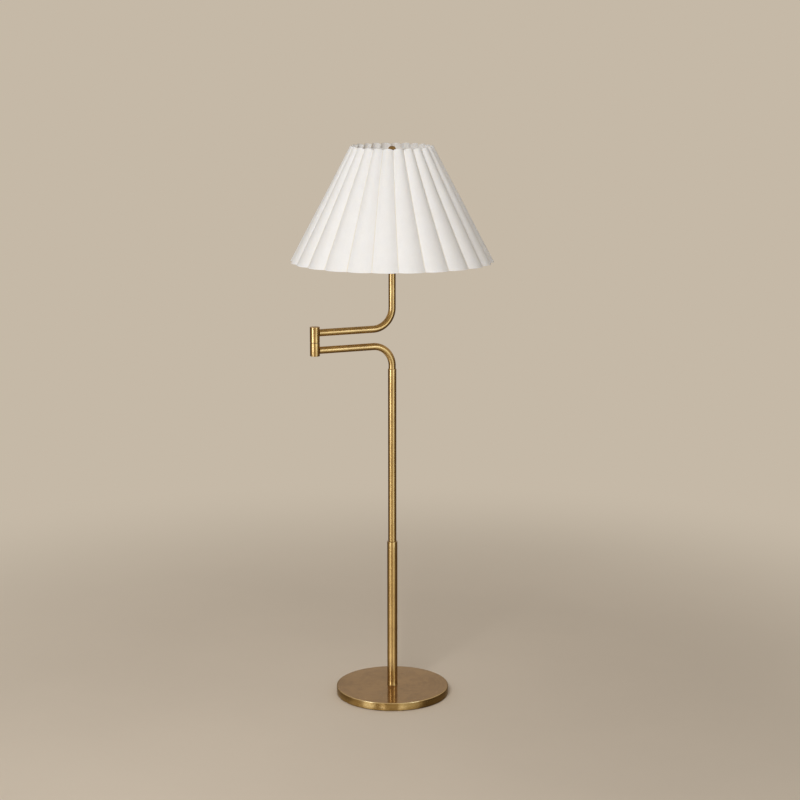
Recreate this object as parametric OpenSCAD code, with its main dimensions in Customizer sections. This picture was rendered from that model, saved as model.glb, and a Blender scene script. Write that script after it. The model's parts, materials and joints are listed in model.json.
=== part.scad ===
// Bridge floor lamp: a weighted round base, a telescoping stem, two swing arms that fold
// over each other at an elbow, and a scalloped paper shade on a harp.
// Millimetres, +Z up. The origin is the centre of the base on the floor.
// At rest both arms point along -X, so the shade stands over the stem.

/* [Base] */
// Diameter of the base
base_d = 280; // [240:1:320]
// Height of the base
base_h = 21; // [20:0.5:30]
// Wall of the spun cover
cover_wall = 1.2; // [0.8:0.1:2]
// Radius on the cover's top edge
cover_edge_r = 2; // [1.5:0.1:3]
// Thickness of the felt pad
felt_t = 2; // [1.5:0.1:3]
// Height of the skirt's lower edge above the floor
skirt_gap = 1; // [0.6:0.1:1.4]
// Margin from the skirt to the edge of the felt
felt_margin = 4; // [2:0.5:10]
// Gap between the iron weight and the cover's skirt
weight_gap = 0.4; // [0.2:0.1:1]
// Iron left above the nut pocket
weight_web = 4.4; // [3.5:0.1:6]
// Diameter of the nut pocket
nut_pocket_d = 34; // [30:1:50]

/* [Cord inlet and terminal block] */
// Bore of the cord gland
gland_bore = 7.4; // [6:0.1:8]
// Wall of the gland's neck
gland_wall = 1.3; // [1:0.1:1.6]
// Length of the gland inside the skirt
gland_neck = 9; // [6:0.5:14]
// Width of the gland's collar round its neck
gland_collar = 2; // [1.5:0.1:3]
// How far the collar stands out of the skirt
gland_proud = 1.4; // [1:0.1:2]
// Height of the gland's axis
gland_z = 9; // [8.5:0.5:10]
// Width of the terminal block
block_w = 16; // [12:1:20]
// Length of the terminal block
block_l = 22; // [18:1:26]
// Height of the terminal block
block_h = 8; // [7:0.5:9]
// Distance from the stem's axis to the terminal block
block_y = 27; // [25:1:34]
// Diameter of the terminal block's screw wells
block_well_d = 4.5; // [3:0.5:5]

/* [Base fasteners] */
// Diameter of the threaded nipples
nipple_d = 10; // [9:0.1:11]
// Bore of the threaded nipples
nipple_bore = 6.4; // [6:0.1:7]
// Thickness of the flat washer under the weight
washer_t = 1.2; // [1:0.1:1.6]
// Diameter of the flat washer under the weight
washer_d = 24; // [20:1:28]
// Thickness of the lock washer
lock_t = 1; // [0.8:0.1:1.4]
// Radial width of the lock washer
lock_w = 2.8; // [2:0.1:4]
// Thickness of the hex nut
nut_t = 3; // [2.5:0.1:3.4]
// Width of the hex nut across its flats
nut_flats = 16; // [14:0.5:18]
// Thread that stands out below the nut
nipple_proud = 0.5; // [0.2:0.1:1]
// Height of the plug that closes the foot of the lower tube
stem_plug_h = 18; // [12:1:30]

/* [Telescoping stem] */
// Outer diameter of the lower tube
lower_od = 25.4; // [24:0.1:30]
// Wall of the lower tube
lower_wall = 1.5; // [1:0.1:1.8]
// Height of the lower tube's top above the floor
lower_top_z = 393; // [360:1:450]
// Outer diameter of the middle tube
mid_od = 20.4; // [20:0.1:20.8]
// Wall of the middle tube
mid_wall = 1; // [0.8:0.1:1.1]
// Height of the middle tube's top above the floor
mid_top_z = 827; // [780:1:900]
// Chamfer on the tubes' open ends
tube_chamfer = 0.6; // [0.3:0.1:0.8]
// Length of the bush that guides the middle tube
bush_len = 30; // [20:1:45]
// How far the bush sits below the lower tube's rim
bush_inset = 0.4; // [0.2:0.1:2]
// Length of the guide's sleeve on the middle tube
guide_sleeve = 25; // [15:1:40]
// Length of the guide's solid foot
guide_foot = 11; // [9:1:20]
// How far the stem can rise from its rest height
slide_up = 45; // [10:1:60]
// Height of the friction ring
ring_h = 4; // [3:0.5:5]
// Radial thickness of the friction ring
ring_t = 1.4; // [1:0.1:2]

/* [Stem swivel] */
// Diameter of the arm's spigot
spigot_d = 14; // [12:0.1:14.6]
// Length of the swivel bush
swivel_len = 45; // [30:1:60]
// Depth of the arm tube's foot inside the middle tube
arm_sink = 10.7; // [6:0.1:16]
// Length of the spigot inside the arm tube
spigot_pilot = 16; // [10:1:18]
// Thickness of the thrust washer
thrust_t = 1.2; // [0.8:0.1:2]
// Thickness of the wave washer
wave_t = 1.6; // [1:0.1:2.4]
// Thickness of the retaining ring
clip_t = 1.3; // [1:0.1:1.6]
// Depth of the retaining ring's groove
clip_groove = 0.5; // [0.3:0.1:0.8]
// Radial clearance of the retaining ring in the middle tube
clip_clear = 0.45; // [0.3:0.05:0.6]
// Spigot left below the retaining ring
spigot_tail = 5; // [3:0.5:10]

/* [Swing arms] */
// Outer diameter of the arm tubes
arm_od = 17.5; // [16.5:0.1:17.8]
// Wall of the arm tubes
arm_wall = 1.2; // [1:0.1:1.4]
// Bend radius of the arm tubes on their centre lines
bend_r = 50; // [40:1:70]
// Distance from the stem's axis to the elbow's axis
reach = 201; // [180:1:260]
// Height of the lower arm's axis
lower_arm_z = 885; // [885:1:960]
// Height of the upper arm's axis above the lower one
arm_rise = 42.5; // [40:0.5:60]
// Height of the riser's top above the floor
riser_top_z = 1143; // [1140:1:1200]

/* [Elbow] */
// Diameter of the elbow
elbow_d = 23.6; // [22.8:0.1:28]
// Bore of the two elbow halves
elbow_bore = 18; // [17.9:0.1:19]
// Height of the split between the halves above the lower arm's axis
split_rise = 19.5; // [19:0.5:24]
// Thickness of the nylon washer in the split
split_t = 1; // [0.6:0.1:1.6]
// How far the nylon washer lies inside the elbow's edge
split_inset = 0.6; // [0.3:0.1:1]
// Distance from the lower arm's axis to the elbow's lower end
elbow_below = 13; // [12:0.5:20]
// Distance from the upper arm's axis to the elbow's upper end
elbow_above = 15; // [14:0.5:24]
// Thickness of the bearing web in each half
web_t = 8.5; // [6:0.5:9]
// Diameter of the hollow pivot
pivot_d = 12; // [11:0.1:12.4]
// Thickness of the pivot's head
pivot_head_t = 2.4; // [1.6:0.1:3]
// Diameter of the pivot's head
pivot_head_d = 16; // [15:0.5:17]
// Thickness of the spring washer
spring_t = 1.4; // [1:0.1:1.8]
// Thickness of the elbow's nut
elbow_nut_t = 4; // [3:0.5:4.5]
// Width of the elbow's nut across its flats
elbow_nut_flats = 14; // [13.5:0.5:15]
// Thickness of the caps in the elbow's ends
cap_t = 2.5; // [2:0.1:3]
// Crown of the caps in the elbow's ends
cap_crown = 0.5; // [0.2:0.1:1]

/* [Inner lead] */
// Diameter of the lead inside the tubes
lead_d = 5; // [4:0.1:5.2]
// Bend radius of the lead where it turns into a bore
lead_turn_r = 8; // [7:0.5:8]
// Radius of the spare curl below the stem
curl_r = 6; // [4:0.5:7]
// Turns in the spare curl below the stem
curl_turns = 7; // [3:1:8]

/* [Socket] */
// Outer diameter of the socket's shell
socket_od = 34.2; // [33:0.1:38]
// Wall of the socket's shell
socket_wall = 0.5; // [0.4:0.1:0.8]
// Wall of the socket's cap
socket_cap_wall = 0.8; // [0.6:0.1:1.2]
// Height of the socket's cap
socket_cap_h = 17; // [16:0.5:24]
// Height of the cap's hub
socket_hub_h = 3; // [3:0.5:4]
// Radius of the cap's hub
socket_hub_r = 8; // [7:0.5:10]
// How far the shell reaches into the cap
socket_lap = 5; // [3:0.5:8]
// Height of the socket's shell
socket_shell_h = 47; // [44:1:54]
// Wall of the cardboard liner
liner_wall = 0.8; // [0.6:0.1:1.2]
// Height of the moulded socket body
socket_body_h = 24; // [22:1:26]
// Height of the socket body's foot above the cap's foot
socket_body_lift = 8.5; // [8:0.5:11]
// Inner diameter of the screw shell
screw_id = 26.6; // [26.4:0.1:27]
// Wall of the screw shell
screw_wall = 0.6; // [0.4:0.1:0.8]
// Height of the screw shell
screw_h = 25; // [20:1:28]
// Height of the switch's axis above the socket body's foot
switch_lift = 16; // [14:0.5:17]
// Diameter of the switch's shaft
switch_shaft_d = 4; // [3:0.1:5]
// Diameter of the hole for the switch's shaft
switch_hole_d = 6.2; // [5.6:0.1:7]
// Depth of the switch's shaft in the socket body
switch_depth = 10; // [6:0.5:12]
// Diameter of the switch's knob
knob_d = 12; // [10:0.5:16]
// Length of the switch's knob
knob_l = 12; // [9:0.5:16]
// Gap between the knob and the socket's shell
knob_gap = 1.4; // [0.5:0.1:3]
// Number of flutes round the knob
knob_flutes = 16; // [8:1:20]
// Diameter of each flute
flute_d = 1.6; // [0.8:0.1:2]

/* [Bulb] */
// Diameter of the bulb's glass
bulb_d = 60; // [50:1:64]
// Height of the bulb from its contact to its crown
bulb_h = 107; // [98:1:116]
// Diameter of the bulb's screw cap
bulb_cap_d = 26.2; // [26:0.1:26.3]
// Height of the bulb's screw cap
bulb_cap_h = 23; // [20:1:26]
// Diameter of the bulb's neck above the cap
bulb_neck_d = 28; // [27:0.5:32]
// Wall of the bulb's glass
bulb_wall = 0.8; // [0.5:0.1:1.2]

/* [Harp] */
// Diameter of the harp's wire
harp_d = 4; // [3:0.1:4.4]
// Half the width of the harp at its widest
harp_half_w = 56; // [48:1:64]
// Distance from the lamp's axis to each harp leg
harp_leg_x = 31; // [28:0.5:36]
// Height of the harp from the saddle to the top of its wire
harp_h = 203; // [196:1:204]
// Height above the saddle at which the harp is widest
harp_wide_z = 96; // [80:1:110]
// Width of the saddle's strip
saddle_w = 11; // [8:0.5:14]
// Thickness of the saddle's strip
saddle_t = 1.5; // [1:0.1:2]
// Height of the saddle's studs
saddle_stud_h = 17; // [12:0.5:22]
// Length of the ferrules that lock the harp
ferrule_l = 16; // [12:0.5:20]
// Wall of the ferrules that lock the harp
ferrule_wall = 1.2; // [0.8:0.1:1.6]
// Diameter of the ring that closes the riser
ring_cap_d = 22; // [20:0.5:26]
// Height of the ring that closes the riser
ring_cap_h = 5; // [4:0.5:8]
// Height of the plug in the riser's top
riser_plug_h = 12; // [8:1:20]

/* [Shade] */
// Height of the shade from its lower rim to its upper one
shade_h = 274.5; // [250:0.5:300]
// Height of the upper rim above the fitter's ring
rim_above_fitter = 10.4; // [8:0.1:14]
// Radius of the lower rim to the crown of the scallops
shade_low_r = 246; // [220:0.5:270]
// Radius of the upper rim to the crown of the scallops
shade_top_r = 99.6; // [92:0.1:120]
// Depth of the scallops at the lower rim
scallop_low = 9.5; // [4:0.5:14]
// Depth of the scallops at the upper rim
scallop_top = 6.5; // [3:0.5:9]
// Number of scalloped panels
scallops = 24; // [16:4:32]
// Direction of the first crease
crease_angle = 10.6; // [0:0.1:14]
// Thickness of the shade's paper
paper_t = 1; // [0.8:0.1:1.4]
// Diameter of the shade's frame wires
wire_d = 3; // [2:0.1:3.6]
// Gap between the frame wires and the paper
wire_gap = 0.3; // [0.2:0.05:0.5]
// Height of the lower wire above the lower rim
wire_lift = 6; // [4:0.5:12]
// Diameter of the fitter's hub
hub_d = 22; // [18:0.5:30]
// Thickness of the fitter's hub
hub_t = 3; // [2.6:0.1:4]
// Number of spokes in the fitter
spokes = 3; // [3:1:4]
// Diameter of the fitter's spokes
spoke_d = 2.4; // [1.8:0.1:2.5]
// Diameter of the harp's finial thread
thread_d = 6; // [5:0.1:6.4]
// Length of the harp's finial thread above the fitter
thread_l = 5; // [4:0.5:6]
// Diameter of the finial
finial_d = 18.3; // [15:0.1:24]
// Height of the finial
finial_h = 10.5; // [9:0.5:16]

/* [Clearances] */
// Radial clearance of pieces that turn or slide in each other
run_gap = 0.05; // [0.02:0.01:0.09]
// Clearance of pieces that are pressed or screwed together
seat_gap = 0.02; // [0.01:0.01:0.04]
// Gap between the ends of two stretches of the lead
lead_gap = 0.2; // [0.1:0.05:0.4]

/* [Hidden] */
$fn = 96;
fine_fn = 48;       // for small pins and wires
arc_steps = 8;      // straight steps in a quarter of a turned profile
lead_sides = 8;
cut = 1;            // overshoot of a cutting solid

// Base
base_r = base_d / 2;
cover_in_r = base_r - cover_wall;
weight_r = cover_in_r - weight_gap;
weight_top_z = base_h - cover_wall - seat_gap;
pocket_z = weight_top_z - weight_web;
stack_gap = seat_gap;
washer_z = pocket_z - washer_t - stack_gap;
lock_z = washer_z - lock_t - stack_gap;
nut_z = lock_z - nut_t - stack_gap;
nipple_low_z = nut_z - nipple_proud;
block_floor = 4;
block_top_z = block_floor + block_h;
block_pocket_z = block_top_z + seat_gap;
block_side = 1;     // room round the terminal block in its pocket
block_bore_z = block_floor + block_h / 2;
gland_r = gland_bore / 2 + gland_wall;
gland_room = 0.5;   // room round the gland's neck in the iron

// Telescoping stem
lower_r = lower_od / 2;
lower_in_r = lower_r - lower_wall;
mid_r = mid_od / 2;
mid_in_r = mid_r - mid_wall;
plug_top_z = base_h + stem_plug_h;
bush_top_z = lower_top_z - bush_inset;
bush_low_z = bush_top_z - bush_len;
guide_top_z = bush_low_z - slide_up - lead_gap;
mid_low_z = guide_top_z - guide_sleeve;
guide_low_z = mid_low_z - guide_foot;
ring_z = guide_low_z + (guide_foot - ring_h) / 2;
guide_r = lower_in_r - run_gap;

// Stem swivel
spigot_r = spigot_d / 2;
arm_r = arm_od / 2;
arm_in_r = arm_r - arm_wall;
arm_foot_z = mid_top_z - arm_sink;
thrust_z = arm_foot_z - run_gap - thrust_t;
swivel_top_z = thrust_z - seat_gap;
swivel_low_z = swivel_top_z - swivel_len;
wave_z = swivel_low_z - run_gap - wave_t;
clip_z = wave_z - run_gap - clip_t;
spigot_low_z = clip_z - spigot_tail;

// Arms and elbow
upper_arm_z = lower_arm_z + arm_rise;
split_z = lower_arm_z + split_rise;
elbow_low_z = lower_arm_z - elbow_below;
elbow_top_z = upper_arm_z + elbow_above;
elbow_r = elbow_d / 2;
elbow_in_r = elbow_bore / 2;
half_low_top_z = split_z - split_t / 2;
half_up_low_z = split_z + split_t / 2;
web_low_z = half_low_top_z - web_t;
web_top_z = half_up_low_z + web_t;
spring_z = web_low_z - spring_t - seat_gap;
elbow_nut_z = spring_z - elbow_nut_t - seat_gap;
pivot_low_z = elbow_nut_z - seat_gap;
pivot_head_z = web_top_z + run_gap;
pivot_top_z = pivot_head_z + pivot_head_t;

// Lead
lead_r = lead_d / 2;
lead_drop = arm_in_r - lead_r - wire_gap;   // the lead lies on the arm tube's lower wall
lead_floor_z = felt_t + lead_r + seat_gap + lead_d / 10;
curl_low_z = plug_top_z + 1;
curl_high_z = guide_low_z - lead_gap;

// Head
ring_cap_z = riser_top_z + seat_gap;
saddle_z = ring_cap_z + ring_cap_h + seat_gap;
socket_z = saddle_z + saddle_t + seat_gap;
head_nipple_low_z = riser_top_z - riser_plug_h;
head_nipple_top_z = socket_z + socket_hub_h + 1;
socket_r = socket_od / 2;
socket_in_r = socket_r - socket_wall;
socket_cap_r = socket_r + seat_gap + socket_cap_wall;
socket_cap_top_z = socket_z + socket_cap_h;
shell_z = socket_cap_top_z - socket_lap;
shell_top_z = shell_z + socket_shell_h;
liner_r = socket_in_r - seat_gap;
liner_in_r = liner_r - liner_wall;
body_z = socket_z + socket_body_lift;
body_top_z = body_z + socket_body_h;
body_r = liner_in_r - seat_gap;
lead_well = 5;      // depth of the lead's hole in the socket body
switch_z = body_z + switch_lift;
screw_in_r = screw_id / 2;
screw_r = screw_in_r + screw_wall;
contact_t = 2;
contact_z = body_top_z + seat_gap;
bulb_z = contact_z + contact_t + seat_gap;
bulb_tip_h = 5;
bulb_cap_z = bulb_z + bulb_tip_h + seat_gap;
bulb_cap_top_z = bulb_cap_z + bulb_cap_h;
bulb_cap_r = bulb_cap_d / 2;
bulb_cap_wall = 0.4;
bulb_r = bulb_d / 2;
bulb_centre_z = bulb_z + bulb_h - bulb_r;

// Harp and shade
harp_r = harp_d / 2;
harp_low_z = saddle_z + saddle_t + saddle_stud_h + lead_gap;
harp_top_z = saddle_z + harp_h - harp_r;
harp_wide = saddle_z + harp_wide_z;
seat_h = 4;         // from the top of the harp's wire line to the fitter's seat
seat_z = harp_top_z + seat_h;
seat_r = 5.5;
hub_z = seat_z + seat_gap;
wire_r = wire_d / 2;
fitter_z = hub_z + hub_t / 2;
crease_low_r = shade_low_r - scallop_low;
crease_top_r = shade_top_r - scallop_top;
shade_top_z = fitter_z + rim_above_fitter;
shade_low_z = shade_top_z - shade_h;
shade_lean = (shade_low_r - shade_top_r) / shade_h;
crease_top_z = shade_top_z - shade_lean * scallop_top;
crease_lean = (crease_low_r - crease_top_r) / (crease_top_z - shade_low_z);
lean_scale = sqrt(1 + crease_lean * crease_lean);
panel_steps = 8;    // columns across one scalloped panel
finial_z = hub_z + hub_t + seat_gap;

// ---------- Shapes that several pieces share ----------

// Points along an arc in a profile, from angle a0 to a1
function arc_points(x, z, r, a0, a1, steps) =
    [for (i = [0:steps]) let (a = a0 + (a1 - a0) * i / steps) [x + r * cos(a), z + r * sin(a)]];

function unit(v) = v / norm(v);

// A plain turned ring or tube
module ring(r_out, r_in, z, h) {
    translate([0, 0, z])
        difference() {
            cylinder(r = r_out, h = h);
            translate([0, 0, -cut]) cylinder(r = r_in, h = h + 2 * cut);
        }
}

// A tube whose upper outer edge is chamfered
module tube_with_chamfer(r_out, r_in, z_low, z_top, chamfer) {
    rotate_extrude()
        polygon([[r_in, z_low], [r_out, z_low], [r_out, z_top - chamfer],
            [r_out - chamfer, z_top], [r_in, z_top]]);
}

// A washer with a narrow split, as a spring washer has
module split_ring(r_out, r_in, z, h, gap_angle) {
    translate([0, 0, z])
        rotate([0, 0, gap_angle / 2])
            rotate_extrude(angle = 360 - gap_angle)
                translate([r_in, 0]) square([r_out - r_in, h]);
}

// A hexagon nut across its flats
module hex_nut(flats, r_in, z, h) {
    translate([0, 0, z])
        difference() {
            cylinder(r = flats / sqrt(3), h = h, $fn = 6);
            translate([0, 0, -cut]) cylinder(r = r_in, h = h + 2 * cut);
        }
}

// A round bar that comes up the Z axis, bends and runs along -X at height 0
module bent_bar(r, foot, run, extra) {
    translate([0, 0, -bend_r - foot - extra]) cylinder(r = r, h = foot + extra);
    translate([-bend_r, 0, -bend_r])
        rotate([90, 0, 0])
            rotate_extrude(angle = 90) translate([bend_r, 0]) circle(r = r);
    translate([-bend_r, 0, 0]) rotate([0, -90, 0]) cylinder(r = r, h = run);
}

// A bent arm tube whose far end is coped to the bore of the elbow
module arm_tube(foot) {
    difference() {
        bent_bar(arm_r, foot, reach - bend_r, 0);
        bent_bar(arm_in_r, foot, reach - bend_r, cut);
        translate([-reach, 0, -arm_od]) cylinder(r = elbow_in_r, h = 2 * arm_od);
    }
}

// One ring of points round a path point
function path_ring(p, along, side, r, sides) =
    let (b = unit(cross(along, side)), m = cross(b, along))
    [for (k = [0:sides - 1]) p + r * (cos(360 * k / sides) * b + sin(360 * k / sides) * m)];

// The direction of a path at one of its points
function path_along(path, i) =
    unit(path[min(i + 1, len(path) - 1)] - path[max(i - 1, 0)]);

// A round wire along a path; side is a direction that the path never runs along
module wire(path, r, side, sides) {
    count = len(path);
    points = [for (i = [0:count - 1]) each path_ring(path[i], path_along(path, i), side, r, sides)];
    walls = [for (i = [0:count - 2]) for (k = [0:sides - 1])
        let (a = i * sides + k, b = i * sides + (k + 1) % sides)
            each [[a, b, a + sides], [b, b + sides, a + sides]]];
    last = (count - 1) * sides;
    low_end = [for (k = [1:sides - 2]) [0, k + 1, k]];
    high_end = [for (k = [1:sides - 2]) [last, last + k, last + k + 1]];
    polyhedron(points = points, faces = concat(walls, low_end, high_end), convexity = 8);
}

// ---------- Base ----------

module base_cover() {
    inner_edge_r = cover_edge_r - cover_wall;
    color("darkgoldenrod")
        difference() {
            rotate_extrude()
                polygon(concat(
                    [[nipple_d / 2 + seat_gap, base_h]],
                    arc_points(base_r - cover_edge_r, base_h - cover_edge_r, cover_edge_r, 90, 0, arc_steps),
                    [[base_r, skirt_gap], [cover_in_r, skirt_gap]],
                    arc_points(base_r - cover_edge_r, base_h - cover_edge_r, inner_edge_r, 0, 90, arc_steps),
                    [[nipple_d / 2 + seat_gap, base_h - cover_wall]]));
            translate([0, cover_in_r - cut, gland_z])
                rotate([-90, 0, 0]) cylinder(r = gland_r + seat_gap, h = cover_wall + 2 * cut);
        }
}

module base_weight() {
    chamfer = 1.5;
    color("dimgray")
        difference() {
            rotate_extrude()
                polygon([[nipple_d / 2 + seat_gap, felt_t], [weight_r - chamfer, felt_t],
                    [weight_r, felt_t + chamfer], [weight_r, weight_top_z - chamfer],
                    [weight_r - chamfer, weight_top_z], [nipple_d / 2 + seat_gap, weight_top_z]]);
            translate([0, 0, felt_t - cut]) cylinder(d = nut_pocket_d, h = pocket_z - felt_t + cut);
            translate([-block_w / 2 - block_side, 0, felt_t - cut])
                cube([block_w + 2 * block_side, block_y + block_l + block_side,
                    block_pocket_z - felt_t + cut]);
            translate([-gland_r - gland_room, block_y, felt_t - cut])
                cube([2 * (gland_r + gland_room), base_r, gland_z + gland_r + gland_room - felt_t + cut]);
        }
}

module base_felt() {
    color("darkslategray") cylinder(r = cover_in_r - felt_margin, h = felt_t - seat_gap);
}

module cord_gland() {
    collar_r = gland_r + gland_collar;
    color("black")
        difference() {
            union() {
                translate([0, cover_in_r - gland_neck, gland_z])
                    rotate([-90, 0, 0]) cylinder(r = gland_r, h = gland_neck + cover_wall + gland_proud);
                difference() {
                    translate([0, cover_in_r, gland_z])
                        rotate([-90, 0, 0]) cylinder(r = collar_r, h = cover_wall + gland_proud);
                    translate([0, 0, gland_z - collar_r - cut])
                        cylinder(r = base_r + seat_gap, h = 2 * (collar_r + cut));
                }
            }
            translate([0, cover_in_r - gland_neck - cut, gland_z])
                rotate([-90, 0, 0])
                    cylinder(d = gland_bore, h = gland_neck + cover_wall + gland_proud + 2 * cut);
        }
}

module terminal_block() {
    color("ivory")
        difference() {
            translate([-block_w / 2, block_y, block_floor]) cube([block_w, block_l, block_h]);
            for (x = [-block_w / 4, block_w / 4], y = [block_l / 4, 3 * block_l / 4])
                translate([x, block_y + y, block_floor - cut]) cylinder(d = block_well_d, h = cut + block_h / 2, $fn = fine_fn);
            translate([0, block_y - cut, block_bore_z])
                rotate([-90, 0, 0]) cylinder(r = lead_r + seat_gap, h = cut + block_l / 4, $fn = fine_fn);
        }
}

module base_lead() {
    turn = 6;       // bend radius under the nipple
    route = concat(
        [[0, block_y + block_l / 4 - 1, block_bore_z], [0, block_y - 1, block_bore_z],
            [0, 2.5 * turn, lead_floor_z + 0.4], [0, 1.5 * turn, lead_floor_z]],
        [for (q = arc_points(turn, lead_floor_z + turn, turn, -90, -180, 6)) [0, q[0], q[1]]],
        [[0, 0, plug_top_z / 2], [0, 0, curl_low_z - lead_gap]]);
    color("saddlebrown") wire(route, lead_r, [1, 0, 0], lead_sides);
}

module base_nipple() {
    color("silver") ring(nipple_d / 2, nipple_bore / 2, nipple_low_z, plug_top_z - nipple_low_z);
}

module base_washer() {
    color("silver") ring(washer_d / 2, nipple_d / 2 + seat_gap, washer_z, washer_t);
}

module base_lock_washer() {
    color("gray") split_ring(nipple_d / 2 + lock_w, nipple_d / 2 + seat_gap, lock_z, lock_t, 12);
}

module base_nut() {
    color("silver") hex_nut(nut_flats, nipple_d / 2 + seat_gap, nut_z, nut_t);
}

module stem_plug() {
    color("peru") ring(lower_in_r - seat_gap, nipple_d / 2 + seat_gap, base_h + seat_gap, stem_plug_h - seat_gap);
}

// ---------- Telescoping stem ----------

module lower_tube() {
    color("goldenrod")
        tube_with_chamfer(lower_r, lower_in_r, base_h + seat_gap, lower_top_z, tube_chamfer);
}

module slide_bush() {
    color("white") ring(lower_in_r - seat_gap, mid_r + run_gap, bush_low_z, bush_len);
}

module slack_lead() {
    steps = 10;     // rings in one turn of the curl
    straight = 4;   // straight length at each end
    ease = 1;       // turns over which the curl opens and closes
    height = curl_high_z - curl_low_z - 2 * straight;
    curl = [for (i = [0:curl_turns * steps])
        let (turn = i / steps, open = min(1, turn / ease, (curl_turns - turn) / ease),
            r = curl_r * sin(90 * open))
            [r * cos(360 * turn), r * sin(360 * turn), curl_low_z + straight + height * turn / curl_turns]];
    route = concat([[0, 0, curl_low_z]], curl, [[0, 0, curl_high_z]]);
    color("saddlebrown") wire(route, lead_r, [1, 0, 0], lead_sides);
}

module slide_guide() {
    color("whitesmoke")
        difference() {
            translate([0, 0, guide_low_z]) cylinder(r = guide_r, h = guide_foot + guide_sleeve);
            translate([0, 0, mid_low_z - seat_gap]) cylinder(r = mid_r + seat_gap, h = guide_sleeve + cut);
            translate([0, 0, guide_low_z - cut]) cylinder(r = nipple_bore / 2, h = guide_foot + 2 * cut);
            ring(lower_in_r + cut, guide_r - ring_t - seat_gap, ring_z - seat_gap, ring_h + 2 * seat_gap);
        }
}

module friction_ring() {
    color("slategray") split_ring(guide_r, guide_r - ring_t, ring_z, ring_h, 24);
}

module mid_tube() {
    color("goldenrod") tube_with_chamfer(mid_r, mid_in_r, mid_low_z, mid_top_z, tube_chamfer);
}

module swivel_bush() {
    color("sienna") ring(mid_in_r - seat_gap, spigot_r + run_gap, swivel_low_z, swivel_len);
}

module thrust_washer() {
    color("white") ring(mid_in_r - seat_gap, spigot_r + run_gap, thrust_z, thrust_t);
}

module stem_lead() {
    color("saddlebrown")
        translate([0, 0, guide_low_z])
            cylinder(r = lead_r, h = spigot_low_z - lead_gap - guide_low_z, $fn = fine_fn);
}

// ---------- Lower arm ----------

module arm_spigot() {
    color("peru")
        difference() {
            union() {
                translate([0, 0, spigot_low_z]) cylinder(r = spigot_r, h = arm_foot_z - spigot_low_z + cut);
                translate([0, 0, arm_foot_z]) cylinder(r = arm_in_r - seat_gap, h = spigot_pilot);
            }
            translate([0, 0, spigot_low_z - cut])
                cylinder(r = nipple_bore / 2, h = arm_foot_z + spigot_pilot - spigot_low_z + 2 * cut);
            ring(spigot_r + cut, spigot_r - clip_groove, clip_z - seat_gap, clip_t + 2 * seat_gap);
        }
}

module wave_washer() {
    color("slategray") ring(mid_in_r - clip_clear, spigot_r + run_gap, wave_z, wave_t);
}

module retaining_ring() {
    color("slategray")
        split_ring(mid_in_r - clip_clear, spigot_r - clip_groove + seat_gap, clip_z, clip_t, 40);
}

module lower_arm_tube() {
    color("goldenrod") translate([0, 0, lower_arm_z]) arm_tube(lower_arm_z - bend_r - arm_foot_z);
}

// One half of the elbow: a bored barrel with a bearing web at the split and a side hole for its arm
module knuckle(z_low, z_top, web_z, pivot_gap, arm_z) {
    difference() {
        translate([-reach, 0, z_low]) cylinder(r = elbow_r, h = z_top - z_low);
        difference() {
            translate([-reach, 0, z_low - cut]) cylinder(r = elbow_in_r, h = z_top - z_low + 2 * cut);
            translate([-reach, 0, web_z]) cylinder(r = elbow_r, h = web_t);
        }
        translate([-reach, 0, z_low - cut])
            cylinder(r = pivot_d / 2 + pivot_gap, h = z_top - z_low + 2 * cut);
        translate([-reach, 0, arm_z]) rotate([0, 90, 0]) cylinder(r = arm_r + seat_gap, h = elbow_d);
    }
}

// A crowned cap pressed into an end of the elbow, drawn with its crown upwards
module knuckle_cap() {
    crown_r = (elbow_in_r * elbow_in_r + cap_crown * cap_crown) / (2 * cap_crown);
    half_angle = asin((elbow_in_r - seat_gap) / crown_r);
    rotate_extrude()
        polygon(concat([[0, -cap_t]], [[elbow_in_r - seat_gap, -cap_t]],
            arc_points(0, cap_crown - crown_r, crown_r, 90 - half_angle, 90, arc_steps)));
}

module lower_knuckle() {
    color("goldenrod") knuckle(elbow_low_z, half_low_top_z, web_low_z, seat_gap, lower_arm_z);
}

module lower_knuckle_cap() {
    color("darkgoldenrod") translate([-reach, 0, elbow_low_z]) mirror([0, 0, 1]) knuckle_cap();
}

module elbow_pivot() {
    color("silver")
        translate([-reach, 0, 0])
            difference() {
                union() {
                    translate([0, 0, pivot_low_z]) cylinder(d = pivot_d, h = pivot_top_z - pivot_low_z);
                    translate([0, 0, pivot_head_z]) cylinder(d = pivot_head_d, h = pivot_head_t);
                }
                translate([0, 0, pivot_low_z - cut])
                    cylinder(d = nipple_bore, h = pivot_top_z - pivot_low_z + 2 * cut);
            }
}

module elbow_washer() {
    color("black")
        translate([-reach, 0, 0])
            ring(elbow_r - split_inset, pivot_d / 2 + seat_gap, half_low_top_z + seat_gap,
                split_t - seat_gap - run_gap);
}

module elbow_spring() {
    color("slategray")
        translate([-reach, 0, 0])
            ring(elbow_nut_flats / 2, pivot_d / 2 + seat_gap, spring_z, spring_t);
}

module elbow_nut() {
    color("silver")
        translate([-reach, 0, 0]) hex_nut(elbow_nut_flats, pivot_d / 2 + seat_gap, elbow_nut_z, elbow_nut_t);
}

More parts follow.
